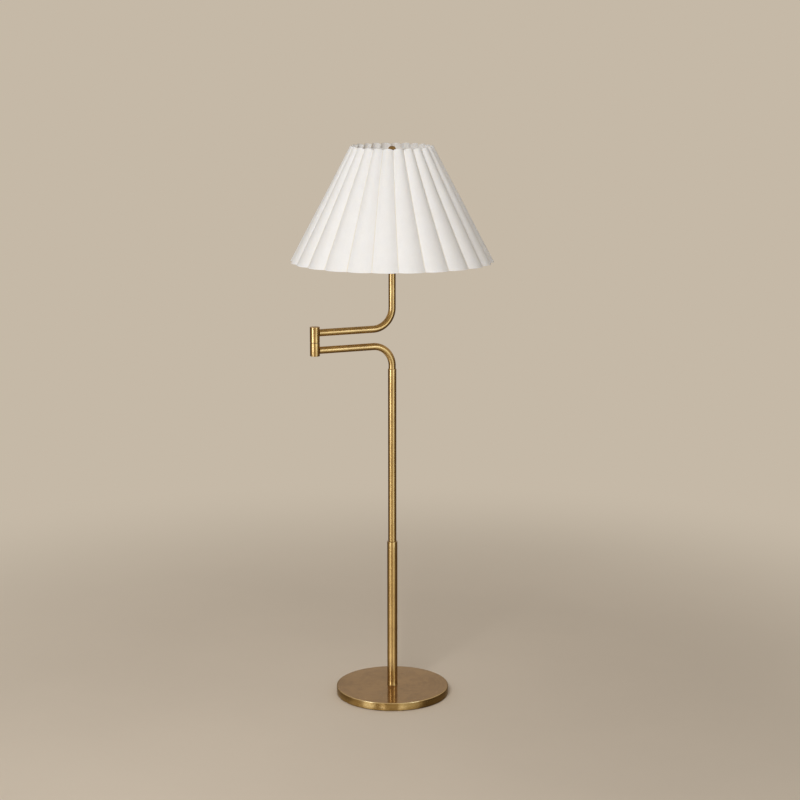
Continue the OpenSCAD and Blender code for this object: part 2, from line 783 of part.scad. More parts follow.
module lower_arm_lead() {
    low_z = lower_arm_z - lead_drop;
    settle = 30;    // length over which the lead comes down onto the tube's wall
    route = concat(
        [[0, 0, spigot_low_z], [0, 0, arm_foot_z]],
        [for (q = arc_points(-bend_r, lower_arm_z - bend_r, bend_r, 0, 90, 10)) [q[0], 0, q[1]]],
        [[-bend_r - settle, 0, low_z], [-reach + lead_turn_r + settle, 0, low_z]],
        [for (q = arc_points(-reach + lead_turn_r, low_z + lead_turn_r, lead_turn_r, -90, -180, 6))
            [q[0], 0, q[1]]],
        [[-reach, 0, split_z - lead_gap / 2]]);
    color("saddlebrown") wire(route, lead_r, [0, 1, 0], lead_sides);
}

// ---------- Upper arm and riser ----------

module upper_knuckle() {
    color("goldenrod")
        knuckle(half_up_low_z, elbow_top_z, half_up_low_z, run_gap, upper_arm_z);
}

module upper_knuckle_cap() {
    color("darkgoldenrod") translate([-reach, 0, elbow_top_z]) knuckle_cap();
}

module upper_arm_tube() {
    color("goldenrod")
        translate([0, 0, upper_arm_z]) mirror([0, 0, 1]) arm_tube(riser_top_z - upper_arm_z - bend_r);
}

module upper_arm_lead() {
    low_z = upper_arm_z - lead_drop;
    settle = 40;    // length over which the lead comes back to the riser's axis
    route = concat(
        [[-reach, 0, split_z + lead_gap / 2]],
        [for (q = arc_points(-reach + lead_turn_r, low_z - lead_turn_r, lead_turn_r, 180, 90, 6))
            [q[0], 0, q[1]]],
        [[-bend_r - lead_turn_r, 0, low_z]],
        [for (q = arc_points(-bend_r, upper_arm_z + bend_r, bend_r + lead_drop, -90, 0, 10))
            [q[0], 0, q[1]]],
        [[lead_drop, 0, head_nipple_low_z - settle], [0, 0, head_nipple_low_z - lead_d],
            [0, 0, head_nipple_low_z + lead_d], [0, 0, body_z + lead_well - 1]]);
    color("saddlebrown") wire(route, lead_r, [0, 1, 0], lead_sides);
}

module riser_plug() {
    color("peru") ring(arm_in_r - seat_gap, nipple_d / 2 + seat_gap, head_nipple_low_z, riser_plug_h);
}

module riser_ring() {
    round_r = 1.5;
    r = ring_cap_d / 2;
    color("darkgoldenrod")
        rotate_extrude()
            polygon(concat([[nipple_d / 2 + seat_gap, ring_cap_z]],
                arc_points(r - round_r, ring_cap_z + round_r, round_r, -90, 0, arc_steps),
                arc_points(r - round_r, ring_cap_z + ring_cap_h - round_r, round_r, 0, 90, arc_steps),
                [[nipple_d / 2 + seat_gap, ring_cap_z + ring_cap_h]]));
}

module head_nipple() {
    color("silver")
        ring(nipple_d / 2, nipple_bore / 2, head_nipple_low_z, head_nipple_top_z - head_nipple_low_z);
}

// ---------- Harp ----------

module harp_saddle() {
    color("darkgoldenrod")
        difference() {
            union() {
                translate([-harp_leg_x, -saddle_w / 2, saddle_z]) cube([2 * harp_leg_x, saddle_w, saddle_t]);
                for (side = [-1, 1])
                    translate([side * harp_leg_x, 0, saddle_z]) {
                        cylinder(d = saddle_w, h = saddle_t);
                        cylinder(d = harp_d, h = saddle_t + saddle_stud_h, $fn = fine_fn);
                    }
            }
            translate([0, 0, saddle_z - cut]) cylinder(r = nipple_d / 2 + seat_gap, h = saddle_t + 2 * cut);
        }
}

module harp_ferrules() {
    color("goldenrod")
        for (side = [-1, 1])
            translate([side * harp_leg_x, 0, 0])
                ring(harp_r + run_gap + ferrule_wall, harp_r + run_gap, harp_low_z - ferrule_l / 2, ferrule_l);
}

// Half of the harp's centre line, from a leg's foot to the top: the leg bows out on a cosine
// to the widest point, and a quarter of an ellipse closes it over the bulb.
function harp_half(side) =
    let (leg_z = harp_low_z + ferrule_l / 2)
    concat([[side * harp_leg_x, 0, harp_low_z]],
        [for (i = [0:8]) let (u = i / 8, w = harp_leg_x + (harp_half_w - harp_leg_x) * (1 - cos(180 * u)) / 2)
            [side * w, 0, leg_z + (harp_wide - leg_z) * u]],
        [for (i = [1:9]) let (a = 9 * i)
            [side * harp_half_w * cos(a), 0, harp_wide + (harp_top_z - harp_wide) * sin(a)]]);

module harp() {
    right = harp_half(1);
    route = concat(harp_half(-1), [[0, 0, harp_top_z]], [for (i = [len(right) - 1:-1:0]) right[i]]);
    color("darkgoldenrod")
        union() {
            wire(route, harp_r, [0, 1, 0], 10);
            translate([0, 0, harp_top_z]) cylinder(r = seat_r, h = seat_h, $fn = fine_fn);
            translate([0, 0, harp_top_z]) cylinder(d = thread_d, h = seat_h + hub_t + thread_l, $fn = fine_fn);
        }
}

// ---------- Socket and bulb ----------

module socket_cap() {
    bowl_h = socket_cap_h - socket_lap - socket_hub_h;
    bowl = [for (i = [0:arc_steps]) let (a = 90 * i / arc_steps)
        [socket_hub_r + (socket_cap_r - socket_hub_r) * sin(a), socket_z + socket_hub_h + bowl_h * (1 - cos(a))]];
    inside = [for (i = [arc_steps:-1:0]) bowl[i] + [-socket_cap_wall, 0] + [0, i == arc_steps ? 0 : socket_cap_wall]];
    color("darkgoldenrod")
        rotate_extrude()
            polygon(concat([[nipple_d / 2 + seat_gap, socket_z], [socket_hub_r, socket_z]], bowl,
                [[socket_cap_r, socket_cap_top_z], [socket_cap_r - socket_cap_wall, socket_cap_top_z]],
                inside, [[nipple_d / 2 + seat_gap, socket_z + socket_hub_h + socket_cap_wall]]));
}

// The hole in the shell and the liner through which the switch's shaft passes
module switch_hole() {
    translate([0, 0, switch_z]) rotate([90, 0, 0]) cylinder(d = switch_hole_d, h = socket_od, $fn = fine_fn);
}

module socket_shell() {
    bead = 0.8;
    color("darkgoldenrod")
        difference() {
            union() {
                ring(socket_r, socket_in_r, shell_z, socket_shell_h);
                ring(socket_r + bead, socket_in_r, shell_top_z - 2 * bead, 2 * bead);
            }
            switch_hole();
        }
}

module socket_liner() {
    color("tan")
        difference() {
            ring(liner_r, liner_in_r, shell_z, socket_shell_h - 2);
            switch_hole();
        }
}

module socket_body() {
    color("black")
        difference() {
            translate([0, 0, body_z]) cylinder(r = body_r, h = socket_body_h);
            translate([0, 0, body_z - cut]) cylinder(r = nipple_bore / 2, h = cut + lead_well);
            translate([0, -body_r + switch_depth, switch_z])
                rotate([90, 0, 0]) cylinder(r = switch_shaft_d / 2 + run_gap, h = switch_depth + cut, $fn = fine_fn);
        }
}

module screw_shell() {
    floor_r = 6;
    color("lightgray")
        union() {
            ring(screw_r, screw_in_r, body_top_z + seat_gap, screw_h);
            ring(screw_r, floor_r, body_top_z + seat_gap, screw_wall);
        }
}

module centre_contact() {
    color("gold") translate([0, 0, contact_z]) cylinder(r = 4, h = contact_t, $fn = fine_fn);
}

module bulb_contact() {
    tip_r = 4.5;
    color("dimgray")
        translate([0, 0, bulb_z])
            rotate_extrude()
                polygon([[0, 0], [tip_r, 0], [tip_r + 0.5, 1], [bulb_cap_r - 1, bulb_tip_h], [0, bulb_tip_h]]);
}

module bulb_cap() {
    color("lightgray") ring(bulb_cap_r, bulb_cap_r - bulb_cap_wall, bulb_cap_z, bulb_cap_h);
}

// The glass as a turned shell: a neck held in the cap, a cosine swell and a round crown
module bulb_glass() {
    neck_r = bulb_neck_d / 2;
    collar_z = bulb_cap_top_z + seat_gap;
    hold = 6;       // length of glass inside the cap
    held_r = bulb_cap_r - bulb_cap_wall - seat_gap;
    steps = 12;
    outer = concat(
        [for (i = [0:steps]) let (u = i / steps)
            [neck_r + (bulb_r - neck_r) * (1 - cos(180 * u)) / 2, collar_z + (bulb_centre_z - collar_z) * u]],
        [for (i = [1:steps]) let (a = 90 * i / steps)
            [bulb_r * cos(a), bulb_centre_z + bulb_r * sin(a)]]);
    inner = concat([[0, bulb_centre_z + bulb_r - bulb_wall]],
        [for (i = [steps - 1:-1:1]) let (a = 90 * i / steps)
            [(bulb_r - bulb_wall) * cos(a), bulb_centre_z + (bulb_r - bulb_wall) * sin(a)]],
        [for (i = [steps:-1:1]) outer[i] - [bulb_wall, 0]]);
    color("white")
        rotate_extrude()
            polygon(concat([[held_r - bulb_wall, collar_z - hold], [held_r, collar_z - hold], [held_r, collar_z]],
                outer, inner, [[held_r - bulb_wall, collar_z + bulb_wall]]));
}

// ---------- Shade ----------

// Radius of the paper's outer face at one column: crowned across each panel, creased between panels
function scallop(column) = let (u = 2 * (column % panel_steps) / panel_steps - 1) 1 - u * u;

function paper_point(column, low, inset) =
    let (bulge = scallop(column),
        r = (low ? crease_low_r + scallop_low * bulge : crease_top_r + scallop_top * bulge) - inset,
        z = low ? shade_low_z : crease_top_z + shade_lean * scallop_top * bulge,
        a = crease_angle + 360 * column / (scallops * panel_steps))
    [r * cos(a), r * sin(a), z];

module shade_paper() {
    columns = scallops * panel_steps;
    inset = paper_t * lean_scale;
    rows = [[true, 0], [false, 0], [false, inset], [true, inset]];
    points = [for (row = rows) for (c = [0:columns - 1]) paper_point(c, row[0], row[1])];
    faces = [for (row = [0:3]) for (c = [0:columns - 1])
        let (n = (c + 1) % columns, a = row * columns, b = ((row + 1) % 4) * columns)
            each [[a + c, b + c, a + n], [a + n, b + c, b + n]]];
    color("floralwhite") polyhedron(points = points, faces = faces, convexity = 12);
}

// Radius of a frame wire that lies against the creases at height z
function frame_wire_r(z) =
    crease_low_r - crease_lean * (z - shade_low_z) - (paper_t + wire_gap + wire_r) * lean_scale;

module frame_wire(z) {
    translate([0, 0, z])
        rotate_extrude() translate([frame_wire_r(z), 0]) circle(r = wire_r, $fn = fine_fn);
}

module shade_fitter() {
    color("whitesmoke")
        union() {
            frame_wire(fitter_z);
            for (i = [0:spokes - 1])
                rotate([0, 0, 90 + 360 * i / spokes])
                    translate([hub_d / 2 - 2, 0, fitter_z])
                        rotate([0, 90, 0]) cylinder(d = spoke_d, h = frame_wire_r(fitter_z) - hub_d / 2 + 2, $fn = fine_fn);
            difference() {
                translate([0, 0, hub_z]) cylinder(d = hub_d, h = hub_t);
                translate([0, 0, hub_z - cut]) cylinder(r = thread_d / 2 + run_gap, h = hub_t + 2 * cut, $fn = fine_fn);
            }
        }
}

module shade_lower_wire() {
    color("whitesmoke") frame_wire(shade_low_z + wire_lift);
}

module finial() {
    foot_r = 6;
    foot_h = 2.2;
    rim_h = 1;      // upright band below the dome
    dome_h = finial_h - foot_h - rim_h;
    dome = [for (i = [0:arc_steps]) let (a = 90 * i / arc_steps)
        [finial_d / 2 * cos(a), finial_z + foot_h + rim_h + dome_h * sin(a)]];
    color("darkgoldenrod")
        difference() {
            rotate_extrude()
                polygon(concat([[0, finial_z], [foot_r, finial_z], [foot_r - 0.8, finial_z + foot_h / 2],
                    [finial_d / 2 - 0.6, finial_z + foot_h], [finial_d / 2, finial_z + foot_h + 0.4]], dome));
            translate([0, 0, finial_z - cut]) cylinder(r = thread_d / 2 + seat_gap, h = thread_l + cut, $fn = fine_fn);
        }
}

// ---------- Switch ----------

module switch_shaft() {
    inner_y = body_r - switch_depth + run_gap;
    outer_y = socket_r + knob_gap + knob_l / 2;
    color("darkgoldenrod")
        translate([0, -inner_y, switch_z])
            rotate([90, 0, 0]) cylinder(d = switch_shaft_d, h = outer_y - inner_y, $fn = fine_fn);
}

module switch_knob() {
    color("black")
        translate([0, -socket_r - knob_gap, switch_z])
            rotate([90, 0, 0])
                difference() {
                    cylinder(d = knob_d, h = knob_l);
                    translate([0, 0, -cut])
                        cylinder(r = switch_shaft_d / 2 + seat_gap, h = cut + knob_l / 2 + seat_gap, $fn = fine_fn);
                    for (i = [0:knob_flutes - 1])
                        rotate([0, 0, 360 * i / knob_flutes])
                            translate([knob_d / 2, 0, -cut]) cylinder(d = flute_d, h = knob_l + 2 * cut, $fn = 16);
                }
}

base_cover();
base_weight();
base_felt();
cord_gland();
terminal_block();
base_lead();
base_nipple();
base_washer();
base_lock_washer();
base_nut();
stem_plug();
lower_tube();
slide_bush();
slack_lead();
slide_guide();
friction_ring();
mid_tube();
swivel_bush();
thrust_washer();
stem_lead();
arm_spigot();
wave_washer();
retaining_ring();
lower_arm_tube();
lower_knuckle();
lower_knuckle_cap();
elbow_pivot();
elbow_washer();
elbow_spring();
elbow_nut();
lower_arm_lead();
upper_knuckle();
upper_knuckle_cap();
upper_arm_tube();
upper_arm_lead();
riser_plug();
riser_ring();
head_nipple();
harp_saddle();
harp_ferrules();
harp();
socket_cap();
socket_shell();
socket_liner();
socket_body();
screw_shell();
centre_contact();
bulb_contact();
bulb_cap();
bulb_glass();
shade_fitter();
shade_lower_wire();
shade_paper();
finial();
switch_shaft();
switch_knob();
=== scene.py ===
"""Dressed model of a bridge floor lamp.

A weighted round base carries a telescoping brass stem. Two swing arms fold over each other
at an elbow, and a scalloped paper shade stands on a harp over the socket and its bulb.
Sizes are in millimetres here and become metres when a mesh is made.
"""

from __future__ import annotations

import json
import logging
import math
import sys
from collections.abc import Sequence
from dataclasses import dataclass
from enum import Enum

import bmesh
import bpy
import numpy as np
from mathutils import Matrix, Vector

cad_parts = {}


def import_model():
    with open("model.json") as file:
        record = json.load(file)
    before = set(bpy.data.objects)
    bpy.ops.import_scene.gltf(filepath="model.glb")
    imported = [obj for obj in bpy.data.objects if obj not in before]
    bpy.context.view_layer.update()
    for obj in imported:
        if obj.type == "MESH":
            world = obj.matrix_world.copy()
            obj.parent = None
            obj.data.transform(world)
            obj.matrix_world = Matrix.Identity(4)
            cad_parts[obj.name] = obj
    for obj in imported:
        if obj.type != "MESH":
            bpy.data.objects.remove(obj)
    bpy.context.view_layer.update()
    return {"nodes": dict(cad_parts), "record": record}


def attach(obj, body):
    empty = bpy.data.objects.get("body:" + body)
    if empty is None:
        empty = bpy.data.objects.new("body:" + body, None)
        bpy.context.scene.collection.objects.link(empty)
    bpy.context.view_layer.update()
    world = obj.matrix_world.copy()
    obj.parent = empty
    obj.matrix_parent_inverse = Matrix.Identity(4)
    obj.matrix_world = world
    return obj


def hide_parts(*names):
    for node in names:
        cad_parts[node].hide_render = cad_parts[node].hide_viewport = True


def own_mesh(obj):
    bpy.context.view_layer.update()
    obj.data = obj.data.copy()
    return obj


LOG = logging.getLogger("floor_lamp")
MM = 0.001
TAU = 2.0 * math.pi
SAME_PLACE = 2e-7  # metres between corners that are merged

Array = np.ndarray
Colour = tuple[float, float, float]
Point = tuple[float, float, float]
Socket = bpy.types.NodeSocket
Value = Socket | float | tuple[float, ...]

ALONG_X: Point = (1.0, 0.0, 0.0)
ALONG_Y: Point = (0.0, 1.0, 0.0)
ALONG_Z: Point = (0.0, 0.0, 1.0)

# the two-core lead, in millimetres, and how far its section is pinched between the cores
LEAD_R = 2.45
LEAD_LAY = 26.0
LEAD_PINCH = 0.3


# Surfaces -----------------------------------------------------------------


def grid(*parts: Array | float) -> Array:
    """Stacks coordinates into points, each stretched to the shape of the whole grid."""
    return np.stack(np.broadcast_arrays(*parts), axis=-1)


def round_steps(count: int) -> Array:
    """Angles of a full turn in even steps, without the last."""
    return np.linspace(0.0, TAU, count, endpoint=False)


def run(path: Array) -> Array:
    """The length of a path up to each of its points."""
    return np.concatenate([[0.0], np.cumsum(np.linalg.norm(np.diff(path, axis=0), axis=1))])


@dataclass
class Surface:
    """A grid of points in millimetres, and what its finish reads from it.

    Attributes:
        points: rows by columns by 3.
        rolled: the same grid straightened out, two coordinates across the piece and the
            length along it, so that grain follows bends and turned faces.
        mark: a mask over the grid that the finish may use.
        wrap_rows, wrap_cols: whether the last row or column joins the first.
    """

    points: Array
    rolled: Array
    mark: Array | float = 0.0
    wrap_rows: bool = False
    wrap_cols: bool = True

    def quads(self) -> Array:
        """Corner numbers of every face: (i, j), (i, j+1), (i+1, j+1), (i+1, j), wrapped.

        Returns:
            One row of four corner numbers for each face.
        """
        rows, cols = self.points.shape[:2]
        i, j = np.meshgrid(np.arange(rows - (not self.wrap_rows)), np.arange(cols - (not self.wrap_cols)),
                           indexing="ij")
        return (i.reshape(-1, 1) + [0, 0, 1, 1]) % rows * cols + (j.reshape(-1, 1) + [0, 1, 1, 0]) % cols

    def lengthwise(self) -> Array:
        """UV of every face corner: metres along the piece, and turns across it.

        Returns:
            One row of two for each corner, in the order of the faces.
        """
        cols, corners = self.points.shape[1], self.quads()
        length = self.rolled[..., 2].reshape(-1)[corners] * MM
        column = corners % cols
        turned = column + cols * ((column == 0) & (column.max(axis=1, keepdims=True) == cols - 1))
        return grid(length, turned / cols).reshape(-1, 2)


def flat32(values: Array) -> Array:
    """One row of single-precision numbers, as a mesh takes them."""
    return values.astype(np.float32).ravel()


def build_piece(name: str, surfaces: Sequence[Surface], sharp_deg: float = 34.0) -> bpy.types.Object:
    """Puts surfaces into one mesh, closes its poles and turns its faces outwards.

    Args:
        name: the piece's name.
        surfaces: the closed grids that make up the piece.
        sharp_deg: edges that turn by more than this stay sharp.

    Returns:
        The new object, at the origin, with its place in its mesh.
    """
    starts = np.cumsum([0] + [s.points.shape[0] * s.points.shape[1] for s in surfaces])
    points = np.concatenate([s.points.reshape(-1, 3) for s in surfaces]) * MM
    rolled = np.concatenate([s.rolled.reshape(-1, 3) for s in surfaces]) * MM
    mark = np.concatenate([np.broadcast_to(s.mark, s.points.shape[:2]).ravel() for s in surfaces])
    quads = np.concatenate([s.quads() + start for s, start in zip(surfaces, starts)])
    along = np.concatenate([s.lengthwise() for s in surfaces])

    mesh = bpy.data.meshes.new(name)
    mesh.vertices.add(len(points))
    mesh.vertices.foreach_set("co", flat32(points))
    mesh.loops.add(quads.size)
    mesh.loops.foreach_set("vertex_index", quads.astype(np.int32).ravel())
    mesh.polygons.add(len(quads))
    mesh.polygons.foreach_set("loop_start", np.arange(0, quads.size, 4, dtype=np.int32))
    mesh.update(calc_edges=True)
    mesh.uv_layers.new(name="lengthwise").data.foreach_set("uv", flat32(along))
    mesh.attributes.new("rolled", "FLOAT_VECTOR", "POINT").data.foreach_set("vector", flat32(rolled))
    mesh.attributes.new("mark", "FLOAT", "POINT").data.foreach_set("value", flat32(mark))

    made = bmesh.new()
    made.from_mesh(mesh)
    bmesh.ops.remove_doubles(made, verts=made.verts, dist=SAME_PLACE)
    bmesh.ops.recalc_face_normals(made, faces=made.faces)
    made.to_mesh(mesh)
    made.free()
    mesh.polygons.foreach_set("use_smooth", np.ones(len(mesh.polygons), dtype=bool))
    mesh.set_sharp_from_angle(angle=math.radians(sharp_deg))
    mesh.update()

    piece = bpy.data.objects.new(name, mesh)
    bpy.context.scene.collection.objects.link(piece)
    return piece


def arc(x: float, z: float, r: float, start: float, end: float, steps: int = 8) -> Array:
    """Profile points on an arc: centre plus r (cos a, sin a) for a from start to end degrees."""
    a = np.radians(np.linspace(start, end, steps + 1))
    return grid(x + r * np.cos(a), z + r * np.sin(a))


def profile(*parts: Array | Sequence[float]) -> Array:
    """Joins single points and arcs into one profile of (radius, height) rows."""
    return np.concatenate([np.atleast_2d(np.asarray(p, dtype=float)) for p in parts])


def lathe(line: Array, centre: tuple[float, float] = (0.0, 0.0), segments: int = 128,
          closed: bool = True, mark: Array | None = None) -> Surface:
    """Turns a profile about a vertical axis: (c + r cos t, d + r sin t, z).

    Args:
        line: rows of (radius, height). A row on the axis closes there as a pole.
        centre: the axis in plan.
        segments: steps round the axis.
        closed: whether the profile's last row joins its first, as in a tube's wall.
        mark: one mask value for each row of the profile.

    Returns:
        The turned surface. Its rolled coordinates are (r cos t, r sin t, length of profile).
    """
    t = round_steps(segments)
    x, y = line[:, :1] * np.cos(t), line[:, :1] * np.sin(t)
    points = grid(centre[0] + x, centre[1] + y, line[:, 1:])
    return Surface(points, grid(x, y, run(line)[:, None]), 0.0 if mark is None else mark[:, None], closed)


def sweep(path: Array, radius: float, side: Point = ALONG_Y, sides: int = 32, bore: float | None = None,
          lobes: float = 0.0, pitch: float = 0.0) -> Surface:
    """Carries a round section along a path: p + r(t) (cos t a + sin t b).

    Here a is side cross tangent and b is tangent cross a, both of length 1.

    Args:
        path: the centre line.
        radius: the section's radius.
        side: a direction that the path never runs along.
        sides: steps round the section.
        bore: radius of a hole along it; without one the ends close as poles.
        lobes: how far a two-core section is pinched, as a share of its radius.
        pitch: length in which a two-core section turns once; 0 leaves it straight.

    Returns:
        The swept surface. Its rolled coordinates are (r cos t, r sin t, length of path).
    """
    along = np.gradient(path, axis=0)
    along /= np.linalg.norm(along, axis=1, keepdims=True)
    first = np.cross(side, along)
    first /= np.linalg.norm(first, axis=1, keepdims=True)
    second = np.cross(along, first)
    length, t = run(path)[:, None], round_steps(sides)
    turn = t + (TAU * length / pitch if pitch else 0.0 * length)
    section = radius * (1.0 - lobes * (1.0 - np.abs(np.cos(turn))) ** 2)

    def rings(scale: Array) -> Array:
        """Carries the section's outline along the path as rings of points.

        Args:
            scale: the section's radii, in one row for each point of the path.

        Returns:
            The points, and their rolled coordinates.
        """
        c, s = scale * np.cos(t), scale * np.sin(t)
        points = path[:, None] + c[..., None] * first[:, None] + s[..., None] * second[:, None]
        return np.stack([points, grid(c, s, length)])

    if bore is None:
        tips = rings(0.0 * section)
        parts = (tips[:, :1], rings(section), tips[:, -1:])
    else:
        parts = (rings(section), rings(np.full_like(section, bore))[:, ::-1])
    return Surface(*np.concatenate(parts, axis=1), wrap_rows=bore is not None)


def hoop(radius: float, z: float, wire: float, segments: int, sides: int = 16) -> Surface:
    """A wire ring: ((R + w cos s) cos t, (R + w cos s) sin t, z + w sin s).

    Args:
        radius, z: radius and height of the wire's centre line.
        wire: radius of the wire.
        segments, sides: steps round the ring and round the wire.

    Returns:
        The closed ring.
    """
    t, s = round_steps(segments)[:, None], round_steps(sides)
    across, up = wire * np.cos(s), wire * np.sin(s)
    points = grid((radius + across) * np.cos(t), (radius + across) * np.sin(t), z + up)
    return Surface(points, grid(across, up, radius * t), wrap_rows=True)


def line_points(start: Sequence[float], end: Sequence[float], steps: int) -> Array:
    """Evenly spaced points from start to end, both included."""
    return np.linspace(start, end, steps + 1)


def bend_points(x: float, z: float, r: float, start: float, end: float, steps: int) -> Array:
    """Points of a bend in the XZ plane: (x + r cos a, 0, z + r sin a)."""
    flat = arc(x, z, r, start, end, steps)
    return grid(flat[:, 0], 0.0, flat[:, 1])


def twisted(route: Array, side: Point, radius: float = LEAD_R, sides: int = 20) -> Surface:
    """A two-core twisted lead along a route."""
    return sweep(route, radius, side, sides, lobes=LEAD_PINCH, pitch=LEAD_LAY)


def settled(route: Array, spacing: float = 1.2, passes: int = 6) -> Array:
    """A route resampled at an even spacing, its inner points relaxed: p = (a + 2p + b) / 4.

    Args:
        route: the points that a lead is led past.
        spacing: distance between the new points.
        passes: how often the inner points are relaxed.

    Returns:
        The new points, with both ends where they were.
    """
    length = run(route)
    even = np.linspace(0.0, length[-1], max(8, int(length[-1] / spacing)))
    made = grid(*(np.interp(even, length, route[:, k]) for k in range(3)))
    for _ in range(passes):
        made[1:-1] = (made[:-2] + 2 * made[1:-1] + made[2:]) / 4
    return made


# Finishes -----------------------------------------------------------------


class Grain(Enum):
    """How the polish lines lie on a metal: none, along the piece, or round it."""

    NONE = (1.0, 1.0, 1.0)
    ALONG = (900.0, 900.0, 9.0)
    ROUND = (9.0, 9.0, 1500.0)


class Graph:
    """A small builder for the nodes of a material or of the world."""

    def __init__(self, owner: bpy.types.Material | bpy.types.World, output: str) -> None:
        """Empties the owner's nodes and adds its output.

        Args:
            owner: the material or world that holds the nodes.
            output: the type of its output node.
        """
        owner.use_nodes = True
        self.tree = owner.node_tree
        self.tree.nodes.clear()
        self.out = self.tree.nodes.new(output)

    def fill(self, node: bpy.types.Node, inputs: dict[str | int, Value]) -> None:
        """Links sockets into a node's inputs, and sets the other values on them.

        Args:
            node: the node to fill.
            inputs: a socket or a plain value for each input's name or number.
        """
        for key, value in inputs.items():
            if isinstance(value, Socket):
                self.tree.links.new(value, node.inputs[key])
            else:
                node.inputs[key].default_value = value

    def node(self, kind: str, inputs: dict[str | int, Value] | None = None, **settings: object) -> bpy.types.Node:
        """Adds a node, sets its properties and fills its inputs.

        Args:
            kind: the type of the node.
            inputs: what goes into its inputs.
            **settings: its properties.

        Returns:
            The new node.
        """
        made = self.tree.nodes.new(kind)
        for key, value in settings.items():
            setattr(made, key, value)
        self.fill(made, inputs or {})
        return made

    def show(self, shader: Socket) -> None:
        """Links a shader to the output."""
        self.fill(self.out, {"Surface": shader})

    def attribute(self, name: str, output: str = "Fac") -> Socket:
        """An attribute of the piece's points."""
        return self.node("ShaderNodeAttribute", attribute_name=name).outputs[output]

    def place(self, scale: Point = (1.0, 1.0, 1.0), rolled: bool = False) -> Socket:
        """Scaled coordinates: the piece's rolled attribute, or its Object coordinates."""
        at = self.attribute("rolled", "Vector") if rolled else self.node("ShaderNodeTexCoord").outputs["Object"]
        return self.node("ShaderNodeMapping", {"Vector": at, "Scale": scale}).outputs["Vector"]

    def noise(self, place: Socket, scale: float, detail: float = 3.0, rough: float = 0.5) -> Socket:
        """A noise value from 0 to 1 at a place."""
        inputs = {"Vector": place, "Scale": scale, "Detail": detail, "Roughness": rough}
        return self.node("ShaderNodeTexNoise", inputs).outputs["Fac"]

    def range(self, value: Socket, low: float, high: float, to_low: float = 0.0, to_high: float = 1.0) -> Socket:
        """Maps low..high to to_low..to_high, clamped, on a smooth step.

        Args:
            value: the socket to map.
            low, high: the span that it is read over.
            to_low, to_high: what it becomes at the ends of that span.

        Returns:
            The mapped value.
        """
        inputs = {"Value": value, "From Min": low, "From Max": high, "To Min": to_low, "To Max": to_high}
        return self.node("ShaderNodeMapRange", inputs, interpolation_type="SMOOTHSTEP").outputs["Result"]

    def blend(self, factor: Socket, a: Socket | Colour, b: Socket | Colour) -> Socket:
        """A colour between a and b."""
        ends = {key: (*end, 1.0) if isinstance(end, tuple) else end for key, end in ((6, a), (7, b))}
        return self.node("ShaderNodeMix", {"Factor": factor, **ends}, data_type="RGBA").outputs[2]

    def sum(self, *parts: tuple[Socket, float]) -> Socket:
        """The weighted sum of values.

        Args:
            *parts: pairs of a value and its weight.

        Returns:
            The sum.
        """
        total: Socket | float = 0.0
        for value, weight in parts:
            total = self.node("ShaderNodeMath", {0: value, 1: weight, 2: total}, operation="MULTIPLY_ADD").outputs[0]
        return total

    def mix(self, factor: Socket, a: Socket, b: Socket) -> Socket:
        """A shader between a and b."""
        return self.node("ShaderNodeMixShader", {0: factor, 1: a, 2: b}).outputs[0]


class Paint(Graph):
    """The nodes of a new material, round a Principled shader."""

    def __init__(self, name: str) -> None:
        """Adds the material and its shader.

        Args:
            name: the material's name.
        """
        self.material = bpy.data.materials.new(name)
        super().__init__(self.material, "ShaderNodeOutputMaterial")
        self.shader = self.node("ShaderNodeBsdfPrincipled")
        self.show(self.shader.outputs[0])

    def set(self, **values: Value) -> None:
        """Links or sets the shader's sockets; an underscore in a name stands for a space."""
        self.fill(self.shader, {key.replace("_", " "): value for key, value in values.items()})

    def bump(self, height: Socket, strength: float, distance: float) -> None:
        """Feeds a height, in units of distance, into the shader's normal."""
        inputs = {"Height": height, "Strength": strength, "Distance": distance}
        self.set(Normal=self.node("ShaderNodeBump", inputs).outputs["Normal"])

    def brush(self, amount: float) -> None:
        """Stretches the highlights along the piece."""
        tangent = self.node("ShaderNodeTangent", direction_type="UV_MAP", uv_map="lengthwise")
        self.set(Anisotropic=amount, Tangent=tangent.outputs[0])


